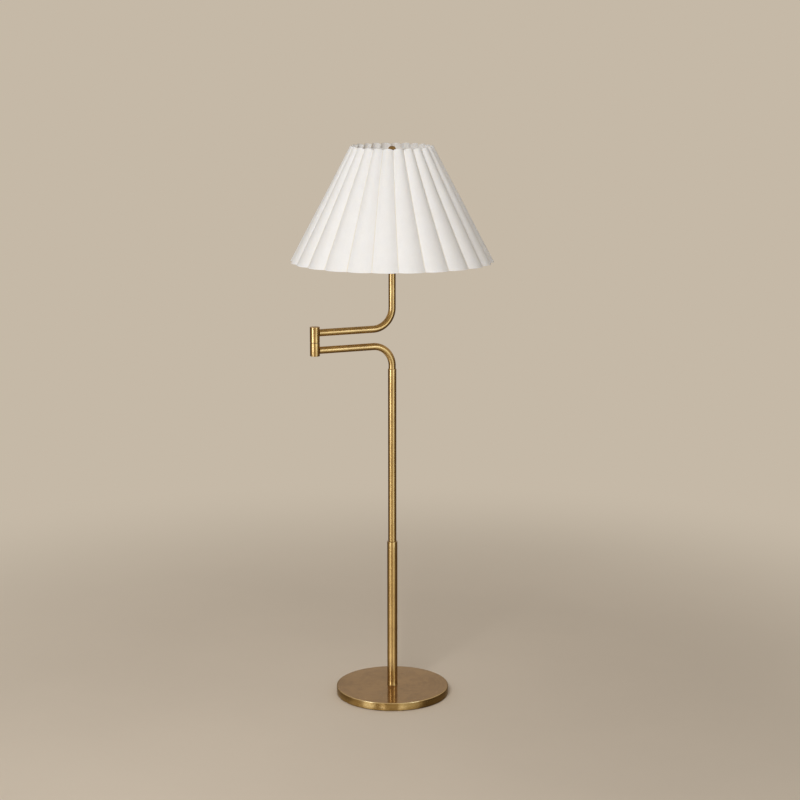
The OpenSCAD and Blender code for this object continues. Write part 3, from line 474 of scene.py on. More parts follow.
@dataclass(frozen=True)
class Brass:
    """Aged, satin-polished brass under a clear lacquer.

    Attributes:
        bright, dull: the colours of the rubbed metal and of settled patina.
        dark_tone: the colour a negative mark darkens the metal to: painted shade on tube end faces, and a darker
            finial.
        rough: roughness of the rubbed and of the dull metal.
        clouds: how many patina clouds fit in a metre.
        grain: which way the polish lines run.
        line: depth of the polish lines in metres.
        stretch: how far the polish lines stretch highlights along the piece.
    """

    bright: Colour = (0.57, 0.365, 0.115)
    dull: Colour = (0.43, 0.255, 0.065)
    dark_tone: Colour = (0.085, 0.048, 0.016)
    rough: tuple[float, float] = (0.21, 0.31)
    clouds: float = 14.0
    grain: Grain = Grain.ALONG
    line: float = 0.000001
    stretch: float = 0.8

    def make(self, name: str) -> bpy.types.Material:
        """Clouds of patina over polish lines; a mark of 1 is rubbed bright, and a negative one darkens it as painted
        shade.

        Args:
            name: the material's name.

        Returns:
            The new material.
        """
        g = Paint(name)
        lined = self.grain is not Grain.NONE
        cloud = g.noise(g.place(), self.clouds, 4.0)
        speck = g.noise(g.place(), self.clouds * 14.0, 3.0, 0.6)
        grain = g.noise(g.place(self.grain.value, lined), 1.0 if lined else 600.0, 3.0, 0.65)
        mark = g.attribute("mark")
        patina = g.range(g.sum((cloud, 0.8), (speck, 0.08), (grain, 0.12), (mark, -0.3)), 0.28, 0.72)
        # a negative mark darkens the metal: painted shade on the tubes' end faces, and a darker finial
        darkening = g.range(mark, -1.0, 0.0, 0.85, 0.0)
        spread = g.sum((patina, 0.8), (grain, 0.2), (darkening, 0.8))
        g.set(Base_Color=g.blend(darkening, g.blend(patina, self.bright, self.dull), self.dark_tone),
              Roughness=g.range(spread, 0.0, 1.6, *self.rough), Metallic=1.0,
              Specular_Tint=(0.62, 0.43, 0.22, 1.0), Coat_Weight=1.0, Coat_Roughness=0.14)
        g.bump(grain, 0.3, self.line)
        if lined:
            g.brush(self.stretch)
        return g.material


@dataclass(frozen=True)
class BaseBrass:
    """The base's brass: browner tones on top, golden tones on the skirt, and a pale painted highlight along its edge.

    Attributes:
        top: the lighter and darker tones of the patina on top.
        skirt: the lighter and darker tones where the mark is 1.
        rim: a pale painted highlight on the rounded edge, where the mark is 2.
    """

    top: tuple[Colour, Colour] = ((0.46, 0.32, 0.19), (0.36, 0.25, 0.16))
    skirt: tuple[Colour, Colour] = ((0.49, 0.32, 0.11), (0.33, 0.20, 0.06))
    rim: Colour = (0.80, 0.62, 0.34)

    def make(self, name: str) -> bpy.types.Material:
        """Clouds and turning lines; the mark turns the top's tones into the skirt's, and then into the edge's painted
        highlight.

        Args:
            name: the material's name.

        Returns:
            The new material.
        """
        g = Paint(name)
        cloud, blot = g.noise(g.place(), 15.0, 5.0, 0.62), g.noise(g.place(), 60.0, 4.0, 0.6)
        turned = g.noise(g.place(Grain.ROUND.value, rolled=True), 1.0, 3.0, 0.65)
        band = g.noise(g.place((2.0, 2.0, 260.0), rolled=True), 1.0, 2.0, 0.6)
        mark = g.attribute("mark")
        patina = g.range(g.sum((cloud, 0.36), (blot, 0.2), (turned, 0.2), (band, 0.24)), 0.38, 0.62)
        side = g.blend(g.range(mark, 0.0, 1.0), g.blend(patina, *self.top), g.blend(patina, *self.skirt))
        spread = g.sum((patina, 0.6), (turned, 0.4), (mark, 0.4))
        # where the mark reaches 2 the rounded edge is painted with a pale highlight
        g.set(Base_Color=g.blend(g.range(mark, 1.0, 2.0), side, self.rim),
              Roughness=g.range(spread, 0.0, 1.4, 0.17, 0.29), Metallic=1.0,
              Specular_Tint=(0.80, 0.72, 0.62, 1.0), Coat_Weight=0.35, Coat_Roughness=0.14)
        g.bump(g.sum((turned, 1.0), (blot, 0.2)), 0.3, 0.00001)
        g.brush(0.85)
        return g.material


@dataclass(frozen=True)
class TwoTone:
    """A finish of two tones that drift into each other, under a fine skin.

    Attributes:
        tones: its colour, and the one that it drifts to.
        plain: the shader's sockets that are the same all over.
        drift, skin: scale, detail and roughness of the noises of the tones and of the skin.
        share: how far the roughness follows the skin instead of the drift.
        tint: the limits of the drift between which the tones change, and how far they
            change at each; without it they change as the roughness does.
        rough: lowest and highest roughness, where it isn't plain.
        stretch: how much finer the skin is along Y.
        relief: weight of the drift in the bumps, where the skin's is 1.
        strength, depth: strength of the bumps, and their height in metres.
    """

    tones: tuple[Colour, Colour]
    plain: dict[str, float]
    drift: tuple[float, float, float]
    skin: tuple[float, float, float] = (900.0, 2.0, 0.5)
    share: float = 0.5
    tint: tuple[float, ...] | None = (0.3, 0.7)
    rough: tuple[float, float] | None = None
    stretch: float = 1.0
    relief: float = 0.0
    strength: float = 0.4
    depth: float = 0.00002

    def make(self, name: str) -> bpy.types.Material:
        """Tones on one noise, bumps on another, and roughness on a mix of both.

        Args:
            name: the material's name.

        Returns:
            The new material.
        """
        g = Paint(name)
        drift = g.noise(g.place(), *self.drift)
        skin = g.noise(g.place((1.0, self.stretch, 1.0)), *self.skin)
        both = g.sum((drift, 1.0 - self.share), (skin, self.share))
        tint = g.range(drift, *self.tint) if self.tint else both
        g.set(Base_Color=g.blend(tint, *self.tones), **self.plain)
        if self.rough:
            g.set(Roughness=g.range(both, 0.3, 0.7, *self.rough))
        if self.depth:
            g.bump(g.sum((skin, 1.0), (drift, self.relief)), self.strength, self.depth)
        return g.material


def shade_of(colour: Colour, share: float) -> Colour:
    """A colour times a share."""
    return tuple(share * c for c in colour)


def moulded(colour: Colour, rough: tuple[float, float], grain: float = 900.0, coat: float = 0.0) -> TwoTone:
    """Plastic, rubber, enamel or paint: a coloured body with a fine skin.

    Args:
        colour: the body's colour.
        rough: lowest and highest roughness.
        grain: bumps in a metre.
        coat: weight of a clear coat.

    Returns:
        The finish.
    """
    return TwoTone(tones=(colour, shade_of(colour, 0.86)), plain={"Coat_Weight": coat, "Coat_Roughness": 0.12},
                   drift=(30.0, 3.0, 0.5), skin=(grain, 2.0, 0.5), rough=rough)


def metal(colour: Colour, stain: Colour, rough: tuple[float, float] = (0.25, 0.42)) -> TwoTone:
    """Plated or bare metal with fine brush lines and a little staining.

    Args:
        colour, stain: the metal's colour, and the one that it stains to.
        rough: lowest and highest roughness.

    Returns:
        The finish.
    """
    return TwoTone(tones=(colour, stain), plain={"Metallic": 1.0}, drift=(160.0, 4.0, 0.5), skin=(1440.0, 2.0, 0.5),
                   share=0.4, tint=(0.45, 0.72, 0.0, 0.8), rough=rough, strength=0.3)


@dataclass(frozen=True)
class ShadePaper:
    """Laminated white shade paper, crisp and matte.

    Attributes:
        face: the paper's colour.
        fold: painted shade down in a crease, darker than the face and warmed by light that has bounced there.
    """

    face: Colour = (0.89, 0.877, 0.868)
    fold: Colour = (0.80, 0.745, 0.655)

    def make(self, name: str) -> bpy.types.Material:
        """Fine fibres and faint clouds, with painted shade where the mark is 1 in a crease and falls off beside it.

        Args:
            name: the material's name.

        Returns:
            The new material.
        """
        g = Paint(name)
        cloud = g.noise(g.place(), 26.0, 4.0, 0.6)
        fibre = g.noise(g.place((1.0, 1.0, 0.35)), 1300.0, 4.0, 0.7)
        slub = g.noise(g.place((1.0, 1.0, 0.12)), 420.0, 3.0, 0.6)
        tone = g.blend(g.range(cloud, 0.3, 0.7), self.face, shade_of(self.face, 0.975))
        tone = g.blend(g.range(slub, 0.35, 0.75, 0.0, 0.35), tone, shade_of(self.face, 0.93))
        # painted shade in the creases, where the mark is high
        g.set(Base_Color=g.blend(g.range(g.attribute("mark"), 0.15, 1.0, 0.0, 0.9), tone, self.fold),
              Roughness=g.range(fibre, 0.3, 0.7, 0.62, 0.78), Specular_IOR_Level=0.35,
              Sheen_Weight=0.12, Sheen_Roughness=0.4, Subsurface_Weight=0.4,
              Subsurface_Radius=(1.0, 0.92, 0.8), Subsurface_Scale=0.0012)
        g.bump(g.sum((fibre, 0.7), (slub, 0.5)), 0.35, 0.00012)
        return g.material


FINISHES: dict[str, Brass | BaseBrass | TwoTone | ShadePaper] = {
    "base_brass": BaseBrass(),
    "tube_brass": Brass(),
    "head_brass": Brass(bright=(0.56, 0.36, 0.10), dull=(0.37, 0.215, 0.055), grain=Grain.ROUND),
    "turned_brass": Brass(bright=(0.64, 0.43, 0.15), dull=(0.5, 0.32, 0.10), grain=Grain.NONE),
    "iron": TwoTone(
        tones=((0.045, 0.045, 0.047), (0.085, 0.062, 0.045)), plain={"Metallic": 0.6},
        drift=(70.0, 5.0, 0.5), skin=(1400.0, 2.0, 0.5), share=0.0, tint=(0.4, 0.7), rough=(0.55, 0.8),
        relief=0.6, strength=0.8, depth=0.00025),
    "felt": TwoTone(
        tones=((0.035, 0.05, 0.04), (0.0735, 0.105, 0.084)),
        plain={"Roughness": 0.95, "Sheen_Weight": 0.5, "Sheen_Roughness": 0.5},
        drift=(260.0, 6.0, 0.7), skin=(1700.0, 3.0, 0.7), tint=None, stretch=2.6,
        relief=0.6, strength=0.9, depth=0.0003),
    "black_nylon": moulded((0.018, 0.018, 0.018), (0.4, 0.55)),
    "white_nylon": moulded((0.70, 0.68, 0.62), (0.35, 0.5)),
    "block_plastic": moulded((0.66, 0.62, 0.53), (0.25, 0.4)),
    "lead_jacket": moulded((0.11, 0.055, 0.025), (0.3, 0.42), 500.0),
    "zinc_steel": metal((0.56, 0.56, 0.54), (0.42, 0.40, 0.35)),
    "spring_steel": metal((0.22, 0.22, 0.23), (0.12, 0.10, 0.08), (0.3, 0.45)),
    "liner_board": TwoTone(
        tones=((0.36, 0.22, 0.11), (0.22, 0.13, 0.06)), plain={"Roughness": 0.85},
        drift=(700.0, 4.0, 0.7), skin=(700.0, 4.0, 0.7), tint=(0.4, 0.65), strength=0.5, depth=0.0001),
    "phenolic": moulded((0.022, 0.016, 0.012), (0.18, 0.3), coat=0.4),
    "nickel": metal((0.62, 0.60, 0.55), (0.50, 0.46, 0.38), (0.18, 0.32)),
    "bulb_base_black": moulded((0.012, 0.012, 0.012), (0.08, 0.15), coat=0.6),
    "frosted_glass": TwoTone(
        tones=((0.86, 0.855, 0.83), (0.80, 0.795, 0.77)),
        plain={"IOR": 1.5, "Transmission_Weight": 0.12, "Coat_Weight": 0.6, "Coat_Roughness": 0.08},
        drift=(40.0, 3.0, 0.5), share=0.0, tint=None, rough=(0.24, 0.32), depth=0.0),
    "white_wire": moulded((0.78, 0.765, 0.73), (0.28, 0.42), coat=0.2),
    "shade_paper": ShadePaper(),
}


class Wardrobe:
    """Makes each finish once and puts it on pieces."""

    def __init__(self) -> None:
        """Starts with nothing made."""
        self.made: dict[str, bpy.types.Material] = {}

    def dress(self, piece: bpy.types.Object, slot: str) -> None:
        """Gives a piece the finish of a slot and no other.

        Args:
            piece: the object to dress.
            slot: the record's material slot.
        """
        if slot not in self.made:
            self.made[slot] = FINISHES[slot].make(slot)
        piece.data.materials.clear()
        piece.data.materials.append(self.made[slot])


# The lamp -----------------------------------------------------------------


@dataclass
class Assembly:
    """What every sub-assembly shares: its body, and how its pieces are put in."""

    wardrobe: Wardrobe
    body: str = ""

    def add(self, name: str, surfaces: Sequence[Surface], slot: str, *nodes: str, body: str = "",
            sharp_deg: float = 34.0) -> bpy.types.Object:
        """Builds a piece, dresses it, and lets it ride in place of CAD nodes.

        Args:
            name: the piece's name.
            surfaces: its closed surfaces.
            slot: the record's material slot that it takes its finish from.
            nodes: the CAD nodes that it stands for.
            body: the body it rides on, where that isn't the assembly's own.
            sharp_deg: edges that turn by more than this stay sharp.

        Returns:
            The piece.
        """
        piece = build_piece(name, surfaces, sharp_deg)
        self.wardrobe.dress(piece, slot)
        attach(piece, body or self.body)
        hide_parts(*nodes)
        LOG.info("%s: %d faces, %s, on %s", name, len(piece.data.polygons), slot, body or self.body)
        return piece


@dataclass
class RoundBase(Assembly):
    """The spun cover of the base, and the lead that rises through it.

    Attributes:
        radius, height: size of the cover.
        wall: thickness of its sheet.
        edge: radius of its rounded edge.
        skirt: height of its lower rim over the floor.
        hole: radius of the hole in its middle.
    """

    body: str = "base"
    radius: float = 140.0
    height: float = 21.0
    wall: float = 1.2
    edge: float = 2.0
    skirt: float = 1.8
    hole: float = 5.02

    def build(self) -> None:
        """Adds the cover, marked 1 on its skirt and 2 on its edge for a painted highlight, and the lead."""
        r, top, e = self.radius, self.height, self.edge
        line = profile(
            [self.hole, top], [30.0, top], [90.0, top], arc(r - e, top - e, e, 90, 0, 10), [r, top / 2],
            arc(r - 0.3, self.skirt + 0.3, 0.3, 0, -90, 3), [r - self.wall, self.skirt],
            arc(r - e, top - e, e - self.wall, 0, 90, 6), [self.hole, top - self.wall])
        out, up = line[:, 0] - r + e, line[:, 1] - top + e
        # the mark is 1 on the skirt and 2 on the rounded top edge, which the finish paints as a pale highlight
        mark = np.clip(out / (0.4 * e), 0.0, 1.0) * (1.0 + (np.minimum(out, up) > 0.3 * e))
        self.add("cover", [lathe(line, segments=256, mark=mark)], "base_brass", "base_cover")

        turn = arc(6, 11.02, 6, -90, -180, 8)
        route = np.concatenate([
            line_points((0, 31.5, 8), (0, 26, 8), 4), line_points((0, 22, 7.2), (0, 12, 5.1), 6),
            grid(0.0, turn[:, 0], turn[:, 1]), line_points((0, 0, 14), (0, 0, 39.8), 8)])
        self.add("lead_in_base", [twisted(settled(route), ALONG_X)], "lead_jacket", "base_lead")


@dataclass
class Stem(Assembly):
    """The lower tube, the middle tube that slides in it, and the leads inside them.

    Attributes:
        chamfer: size of the tubes' broken edges and beads.
        curl_turns, curl_r: how often the spare lead turns, and the radius of its turns.
        curl_low, curl_high: heights that it turns between.
    """

    body: str = "stem"
    chamfer: float = 0.6
    curl_turns: int = 7
    curl_r: float = 6.0
    curl_low: float = 44.0
    curl_high: float = 277.2

    def tube(self, r: float, bore: float, foot: float, top: float) -> Surface:
        """A tube with a rubbed bead at its foot, a broken upper edge, and painted shade on its upper end face.

        Args:
            r, bore: its outer and inner radius.
            foot, top: heights of its ends.

        Returns:
            The tube's closed wall.
        """
        c, rows = self.chamfer, 24
        wall = grid(r, np.linspace(foot + 3.2 * c, top - c, rows))
        bead = arc(r - 0.6 * c, foot + 1.4 * c, 1.4 * c, -90, 55, 8)
        line = profile([bore, foot], bead, wall, arc(r - c, top - c, c, 12, 78, 4), [r - c, top],
                       [r - c - 0.1, top], [bore + 0.2, top], [bore, top - 0.2])
        edge = (line[:, 1] > top - 2 * c) | (line[:, 1] < foot + 3 * c)
        # the upper end face is marked -2, which the finish paints dark as shade where the next part enters
        face = (line[:, 1] > top - 0.01) & (line[:, 0] < r - c)
        return lathe(line, mark=edge * 1.0 - face * 2.0)

    def curl(self) -> Array:
        """The spare lead's route: a helix that opens and closes over its first and last turns.

        Returns:
            The centre line, from the base's lead up to the stem's.
        """
        turn = np.linspace(0.0, 1.0, 40 * self.curl_turns + 1) * self.curl_turns
        r = self.curl_r * np.sin(np.pi / 2 * np.minimum(1.0, np.minimum(turn, self.curl_turns - turn)))
        z = self.curl_low + (self.curl_high - self.curl_low) * turn / self.curl_turns
        coil = grid(r * np.cos(TAU * turn), r * np.sin(TAU * turn), z)
        ends = line_points((0, 0, 40), (0, 0, 43), 3), line_points((0, 0, 278), (0, 0, 281.2), 3)
        return np.concatenate([ends[0], coil, ends[1]])

    def build(self) -> None:
        """Adds both tubes and the leads inside them."""
        self.add("lower_tube_polished", [self.tube(r=12.7, bore=11.2, foot=21.02, top=393.0)],
                 "tube_brass", "lower_tube", body="base")
        self.add("middle_tube_polished", [self.tube(r=10.2, bore=9.2, foot=292.38, top=827.0)],
                 "tube_brass", "mid_tube")
        spare = self.add("spare_lead", [twisted(self.curl(), ALONG_X, sides=16)],
                         "lead_jacket", "slack_lead", body="base")
        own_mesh(spare)
        straight = line_points((0, 0, 281.4), (0, 0, 761.7), 300)
        self.add("lead_in_stem", [twisted(straight, ALONG_X)], "lead_jacket", "stem_lead")


@dataclass
class SwingArms(Assembly):
    """The two bent arm tubes, their elbow and the leads inside them.

    Attributes:
        tube_r, tube_bore: outer and inner radius of the arms.
        bend: radius of their bends.
        reach: distance from the stem's axis to the elbow's.
        lower_z, upper_z: heights of the arms' level parts.
        foot_z, riser_top: heights of their upright ends.
        elbow_r, elbow_bore: outer and inner radius of the elbow.
        split: height of the line that parts it.
        elbow_low, elbow_top: heights of its ends.
        web: thickness of the web in each half.
        lead_r: radius of the leads.
        lead_drop: how far a lead lies below the axis of a level arm.
    """

    body: str = "lower_arm"
    tube_r: float = 8.75
    tube_bore: float = 7.55
    bend: float = 50.0
    reach: float = 201.0
    lower_z: float = 885.0
    upper_z: float = 927.5
    foot_z: float = 816.3
    riser_top: float = 1143.0
    elbow_r: float = 11.8
    elbow_bore: float = 9.0
    split: float = 904.5
    elbow_low: float = 872.0
    elbow_top: float = 942.5
    web: float = 8.5
    lead_r: float = 2.4
    lead_drop: float = 4.75

    def arm(self, sign: float, axis_z: float, foot: float) -> Surface:
        """A tube that comes along X, bends through a right angle and runs to its foot.

        Args:
            sign: 1 where it bends upwards, -1 where it bends down.
            axis_z: height of its level part.
            foot: height of its upright end.

        Returns:
            The tube's closed wall.
        """
        start = (-self.reach + self.elbow_bore + 1.0, 0.0, axis_z)
        straight = line_points(start, (-self.bend - 1.0, 0.0, axis_z), 40)
        centre = axis_z + sign * self.bend
        bent = bend_points(-self.bend, centre, self.bend, -90.0 * sign, 0.0, 40)
        end = line_points((0.0, 0.0, centre + sign * 1.0), (0.0, 0.0, foot), 24)
        return sweep(np.concatenate([straight, bent, end]), self.tube_r, sides=72, bore=self.tube_bore)

    def barrel(self, low: float, top: float, web_low: float, web_top: float, pin: float) -> Surface:
        """One half of the elbow, turned, with its bearing web and eased outer edges.

        Args:
            low, top: heights of its ends.
            web_low, web_top: heights of its web's faces.
            pin: radius of the hole in its web.

        Returns:
            The half.
        """
        x, e, bore = self.elbow_r, 0.6, self.elbow_bore
        if web_low > low:
            line = profile(arc(x - e, low + e, e, -90, 0, 5), [x, (low + top) / 2], [x, top - 0.25],
                           [x - 0.25, top], [pin, top], [pin, web_low], [bore, web_low], [bore, low])
        else:
            line = profile([x - 0.25, low], [x, low + 0.25], [x, (low + top) / 2],
                           arc(x - e, top - e, e, 0, 90, 5), [bore, top], [bore, web_top], [pin, web_top], [pin, low])
        edge = (line[:, 0] > x - 1.0) & ((line[:, 1] < low + e) | (line[:, 1] > top - e))
        return lathe(line, (-self.reach, 0.0), mark=edge * 1.0)

    def cap(self, z: float, way: float) -> Surface:
        """A crowned disc pressed into the elbow's end, its edge eased.

        Args:
            z: height of the elbow's end.
            way: 1 for the upper end, -1 for the lower one.

        Returns:
            The disc.
        """
        r, crown, thick = self.elbow_bore - 0.02, 0.5, 2.5
        u = np.linspace(0.0, 1.0, 13)
        dome = grid(r * (1 - u) * 0.985, z + way * crown * (1 - (1 - u) ** 2))
        line = profile([0.0, z - way * thick], [r, z - way * thick], [r, z - way * 0.15], dome)
        return lathe(line, (-self.reach, 0.0), 96, closed=False)

    def lower_route(self) -> Array:
        """The lead's way up the spigot, along the lower arm and up into the elbow.

        Returns:
            The points that the lead is led past.
        """
        low = self.lower_z - self.lead_drop
        return np.concatenate([
            line_points((0, 0, 761.9), (0, 0, 820), 30),
            bend_points(-self.bend, self.lower_z - self.bend, self.bend, 4, 86, 24),
            line_points((-85, 0, low), (-160, 0, low), 20), bend_points(-193, low + 8, 8, -90, -180, 8),
            line_points((-201, 0, 889.5), (-201, 0, 904.4), 6)])

    def upper_route(self) -> Array:
        """The lead's way out of the elbow, along the upper arm and up the riser.

        Returns:
            The points that the lead is led past.
        """
        low = self.upper_z - self.lead_drop
        return np.concatenate([
            line_points((-201, 0, 904.6), (-201, 0, 913.5), 4), bend_points(-193, low - 8, 8, 180, 90, 8),
            line_points((-185, 0, low), (-60, 0, low), 30),
            bend_points(-self.bend, self.upper_z + self.bend, self.bend + self.lead_drop, -86, -4, 24),
            line_points((4.75, 0, 990), (4.75, 0, 1080), 20), line_points((0, 0, 1126), (0, 0, 1162), 12)])

    def build(self) -> None:
        """Adds the tubes, the elbow's halves and caps, and the leads."""
        low_end, top_end, upper = self.split - 0.5, self.split + 0.5, "upper_arm"
        halves = (self.barrel(self.elbow_low, low_end, low_end - self.web, low_end, pin=6.02),
                  self.barrel(top_end, self.elbow_top, top_end, top_end + self.web, pin=6.05))
        for name, piece, slot, node, body in (
            ("lower_arm_polished", self.arm(-1.0, self.lower_z, self.foot_z), "tube_brass", "lower_arm_tube", ""),
            ("upper_arm_polished", self.arm(1.0, self.upper_z, self.riser_top), "tube_brass", "upper_arm_tube", upper),
            ("elbow_lower_half", halves[0], "tube_brass", "lower_knuckle", ""),
            ("elbow_upper_half", halves[1], "tube_brass", "upper_knuckle", upper),
            ("elbow_lower_cap", self.cap(self.elbow_low, -1.0), "head_brass", "lower_knuckle_cap", ""),
            ("elbow_upper_cap", self.cap(self.elbow_top, 1.0), "head_brass", "upper_knuckle_cap", upper),
            ("lead_in_lower_arm", twisted(settled(self.lower_route()), ALONG_Y, self.lead_r), "lead_jacket",
             "lower_arm_lead", ""),
            ("lead_in_upper_arm", twisted(settled(self.upper_route()), ALONG_Y, self.lead_r), "lead_jacket",
             "upper_arm_lead", upper),
        ):
            self.add(name, [piece], slot, node, body=body)


@dataclass
class Head(Assembly):
    """The riser's ring, the harp, and the socket with its bulb and switch.

    Attributes:
        ring_z, socket_z, shell_z, screw_z, bulb_cap_z: heights of the feet of the ring, the socket, its
            shell, its screw and the bulb's cap.
        cap_top, shell_top, bulb_cap_top: heights of the tops of the cup, the shell and the bulb's cap.
        socket_r, cap_r, bulb_r: radii of the shell, the cup and the bulb.
        switch_z: height of the switch's axis.
        thread_pitch: pitch of the screw threads.
        bulb_centre: height of the bulb's widest part.
        harp_wire: radius of the harp's wire.
        harp_leg, harp_half: how far out the wire stands at its feet and where it is widest.
        harp_foot, harp_wide, harp_top: heights of its feet, its widest part and its top.
        seat_z: height of the seat for the shade.
    """

    body: str = "upper_arm"
    ring_z: float = 1143.02
    socket_z: float = 1149.56
    socket_r: float = 17.1
    cap_r: float = 17.92
    cap_top: float = 1166.56
    shell_z: float = 1161.56
    shell_top: float = 1208.56
    switch_z: float = 1174.06
    screw_z: float = 1182.08
    bulb_cap_z: float = 1189.12
    bulb_cap_top: float = 1212.12
    thread_pitch: float = 3.63
    bulb_centre: float = 1261.1
    bulb_r: float = 30.0
    harp_wire: float = 2.0
    harp_leg: float = 31.0
    harp_half: float = 56.0
    harp_foot: float = 1166.74
    harp_wide: float = 1244.04
    harp_top: float = 1349.04
    seat_z: float = 1353.04

    def riser_ring(self) -> Surface:
        """A turned ring with full round edges and a shallow waist.

        Returns:
            The ring.
        """
        z, h, r, e, bore = self.ring_z, 5.0, 11.0, 1.5, 5.02
        line = profile([bore, z], arc(r - e, z + e, e, -90, 0, 6), [r - 0.35, z + h / 2],
                       arc(r - e, z + h - e, e, 0, 90, 6), [bore, z + h])
        return lathe(line, segments=96)

    def harp(self) -> list[Surface]:
        """The bent wire, its seat for the shade and its threaded post.

        A leg bows out as leg + (half - leg)(1 - cos pi u)/2, and the crown is the upper half
        of an ellipse between the legs.

        Returns:
            The wire, and the stud with its seat and post.
        """
        u, leg_z, seat_z, top = np.linspace(0.0, 1.0, 40), self.harp_foot + 8.0, self.seat_z, self.harp_top
        bow = self.harp_leg + (self.harp_half - self.harp_leg) * (1 - np.cos(np.pi * u)) / 2
        leg = grid(bow, 0.0, leg_z + (self.harp_wide - leg_z) * u)
        foot = line_points((self.harp_leg, 0, self.harp_foot), (self.harp_leg, 0, leg_z - 1), 5)
        a = np.radians(np.linspace(2.0, 178.0, 120))
        crown = grid(self.harp_half * np.cos(a), 0.0, self.harp_wide + (top - self.harp_wide) * np.sin(a))
        flip = np.array([-1.0, 1.0, 1.0])
        path = np.concatenate([foot, leg, crown, leg[::-1] * flip, foot[::-1] * flip])
        ridges = np.linspace(seat_z + 0.2, seat_z + 7.6, 46)
        post = grid(2.93 - 0.16 * np.abs(np.sin(np.pi * (ridges - seat_z) / 0.8)), ridges)
        stud = profile([0.0, top - 3.2], [3.6, top - 3.2], [4.2, top - 2.2], [4.2, top + 1.6], [5.5, top + 2.2],
                       [5.5, seat_z - 0.3], [5.2, seat_z], [3.0, seat_z], post,
                       [2.2, seat_z + 8.0], [0.0, seat_z + 8.0])
        return [sweep(path, self.harp_wire, sides=24), lathe(stud, segments=64, closed=False)]

    def ferrules(self) -> list[Surface]:
        """The two sleeves that lock the harp, each with a flared lip and a beaded foot.

        Returns:
            Both sleeves.
        """
        z, bore = self.harp_foot - 8.0, 2.05
        top = z + 16.0
        line = profile([bore, z], [3.5, z], arc(3.3, z + 0.7, 0.7, -60, 60, 6), [3.2, z + 1.8], [3.2, top - 3.0],
                       arc(3.3, top - 1.6, 0.55, -60, 60, 6), [3.15, top - 0.6], [2.9, top], [bore, top])
        return [lathe(line, (side * self.harp_leg, 0.0), 48) for side in (-1.0, 1.0)]

    def socket_cap(self) -> Surface:
        """The cup under the shell: a hub, a quarter-ellipse bowl and a rolled collar.

        Returns:
            The cup's closed wall.
        """
        r, top, r0, z0, z1 = self.cap_r, self.cap_top, 8.0, self.socket_z + 3.0, self.shell_z
        a = np.radians(np.linspace(0, 90, 17))
        bowl = grid(r0 + (r - r0) * np.sin(a), z0 + (z1 - z0) * (1 - np.cos(a)))
        lip = profile([r, z1 + 0.6], arc(r - 0.1, z1 + 1.4, 0.6, -60, 60, 5),
                      [r, top - 1.3], arc(r - 0.1, top - 0.7, 0.6, -60, 60, 5))
        inner = bowl[::-1] - np.array([0.8, 0.0])
        inner[1:, 1] += 0.8
        line = profile([5.02, self.socket_z], [r0 - 0.5, self.socket_z], [r0, self.socket_z + 0.5], bowl, lip,
                       [r - 0.8, top], inner, [5.02, z0 + 0.8])
        return lathe(line, segments=144)

    def socket_shell(self) -> list[Surface]:
        """The shell with its pressed beads and open mouth, and the bushing of the switch.

        Returns:
            The shell's closed wall, and the bushing.
        """
        r, wall, low, top = self.socket_r, 0.5, self.shell_z, self.shell_top
        beads = [arc(r - 0.05, low + 5.0 + d, 0.75, -70, 70, 6) for d in (2.6, 24.0, 27.0)]
        line = profile([r - wall, low], [r, low], *beads, [r, top - 3.2],
                       arc(r - 0.05, top - 1.1, 0.95, -75, 90, 9), [r - wall, top - 0.2])
        bush = lathe(profile([2.05, 0.0], [3.9, 0.0], [3.9, 1.0], [3.4, 1.4], [2.05, 1.4]), segments=48)
        x, y, z = np.moveaxis(bush.points, -1, 0)
        bush.points = grid(x, -r + 0.3 - z, self.switch_z + y)
        return [lathe(line, segments=144), bush]

    def screw_thread(self, r: float, depth: float, low: float, top: float, wall: float) -> Surface:
        """A rolled thread: r(t, z) = r - depth (1 + cos(t - 2 pi z / pitch)) / 2, faded at both ends.

        Args:
            r: radius over the crests.
            depth: how far the thread is rolled in.
            low, top: heights of its ends.
            wall: thickness of the sheet.

        Returns:
            The closed wall.
        """
        pitch, rows_in_turn = self.thread_pitch, 14
        z, t = np.linspace(low, top, int((top - low) / pitch * rows_in_turn))[:, None], round_steps(72)
        fade = np.clip(np.minimum(z - low - 1.0, top - 1.0 - z) / 2.0, 0.0, 1.0)
        outer = r - depth * fade * (1 + np.cos(t - TAU * (z - low) / pitch)) / 2
        radius = np.concatenate([outer, outer[::-1] - wall])
        points = grid(radius * np.cos(t), radius * np.sin(t), np.concatenate([z, z[::-1]]))
        return Surface(points, points, wrap_rows=True)

    def bulb(self) -> Surface:
        """The bulb's glass: a neck, a cosine swell and a round crown, with its wall.

        Returns:
            The glass's closed wall.
        """
        neck, low, centre, wall = 14.0, self.bulb_cap_top + 0.02, self.bulb_centre, 0.8
        u = np.linspace(0.0, 1.0, 28)
        swell = grid(neck + (self.bulb_r - neck) * (1 - np.cos(np.pi * u)) / 2, low + (centre - low) * u)
        line = profile([11.9, low - 6.0], [12.65, low - 6.0], [12.65, low], [neck - 0.6, low], swell,
                       arc(0.0, centre, self.bulb_r, 3, 90, 28), arc(0.0, centre, self.bulb_r - wall, 90, 3, 28),
                       swell[::-1] - [wall, 0.0], [11.9, low + wall])
        return lathe(line, segments=112)

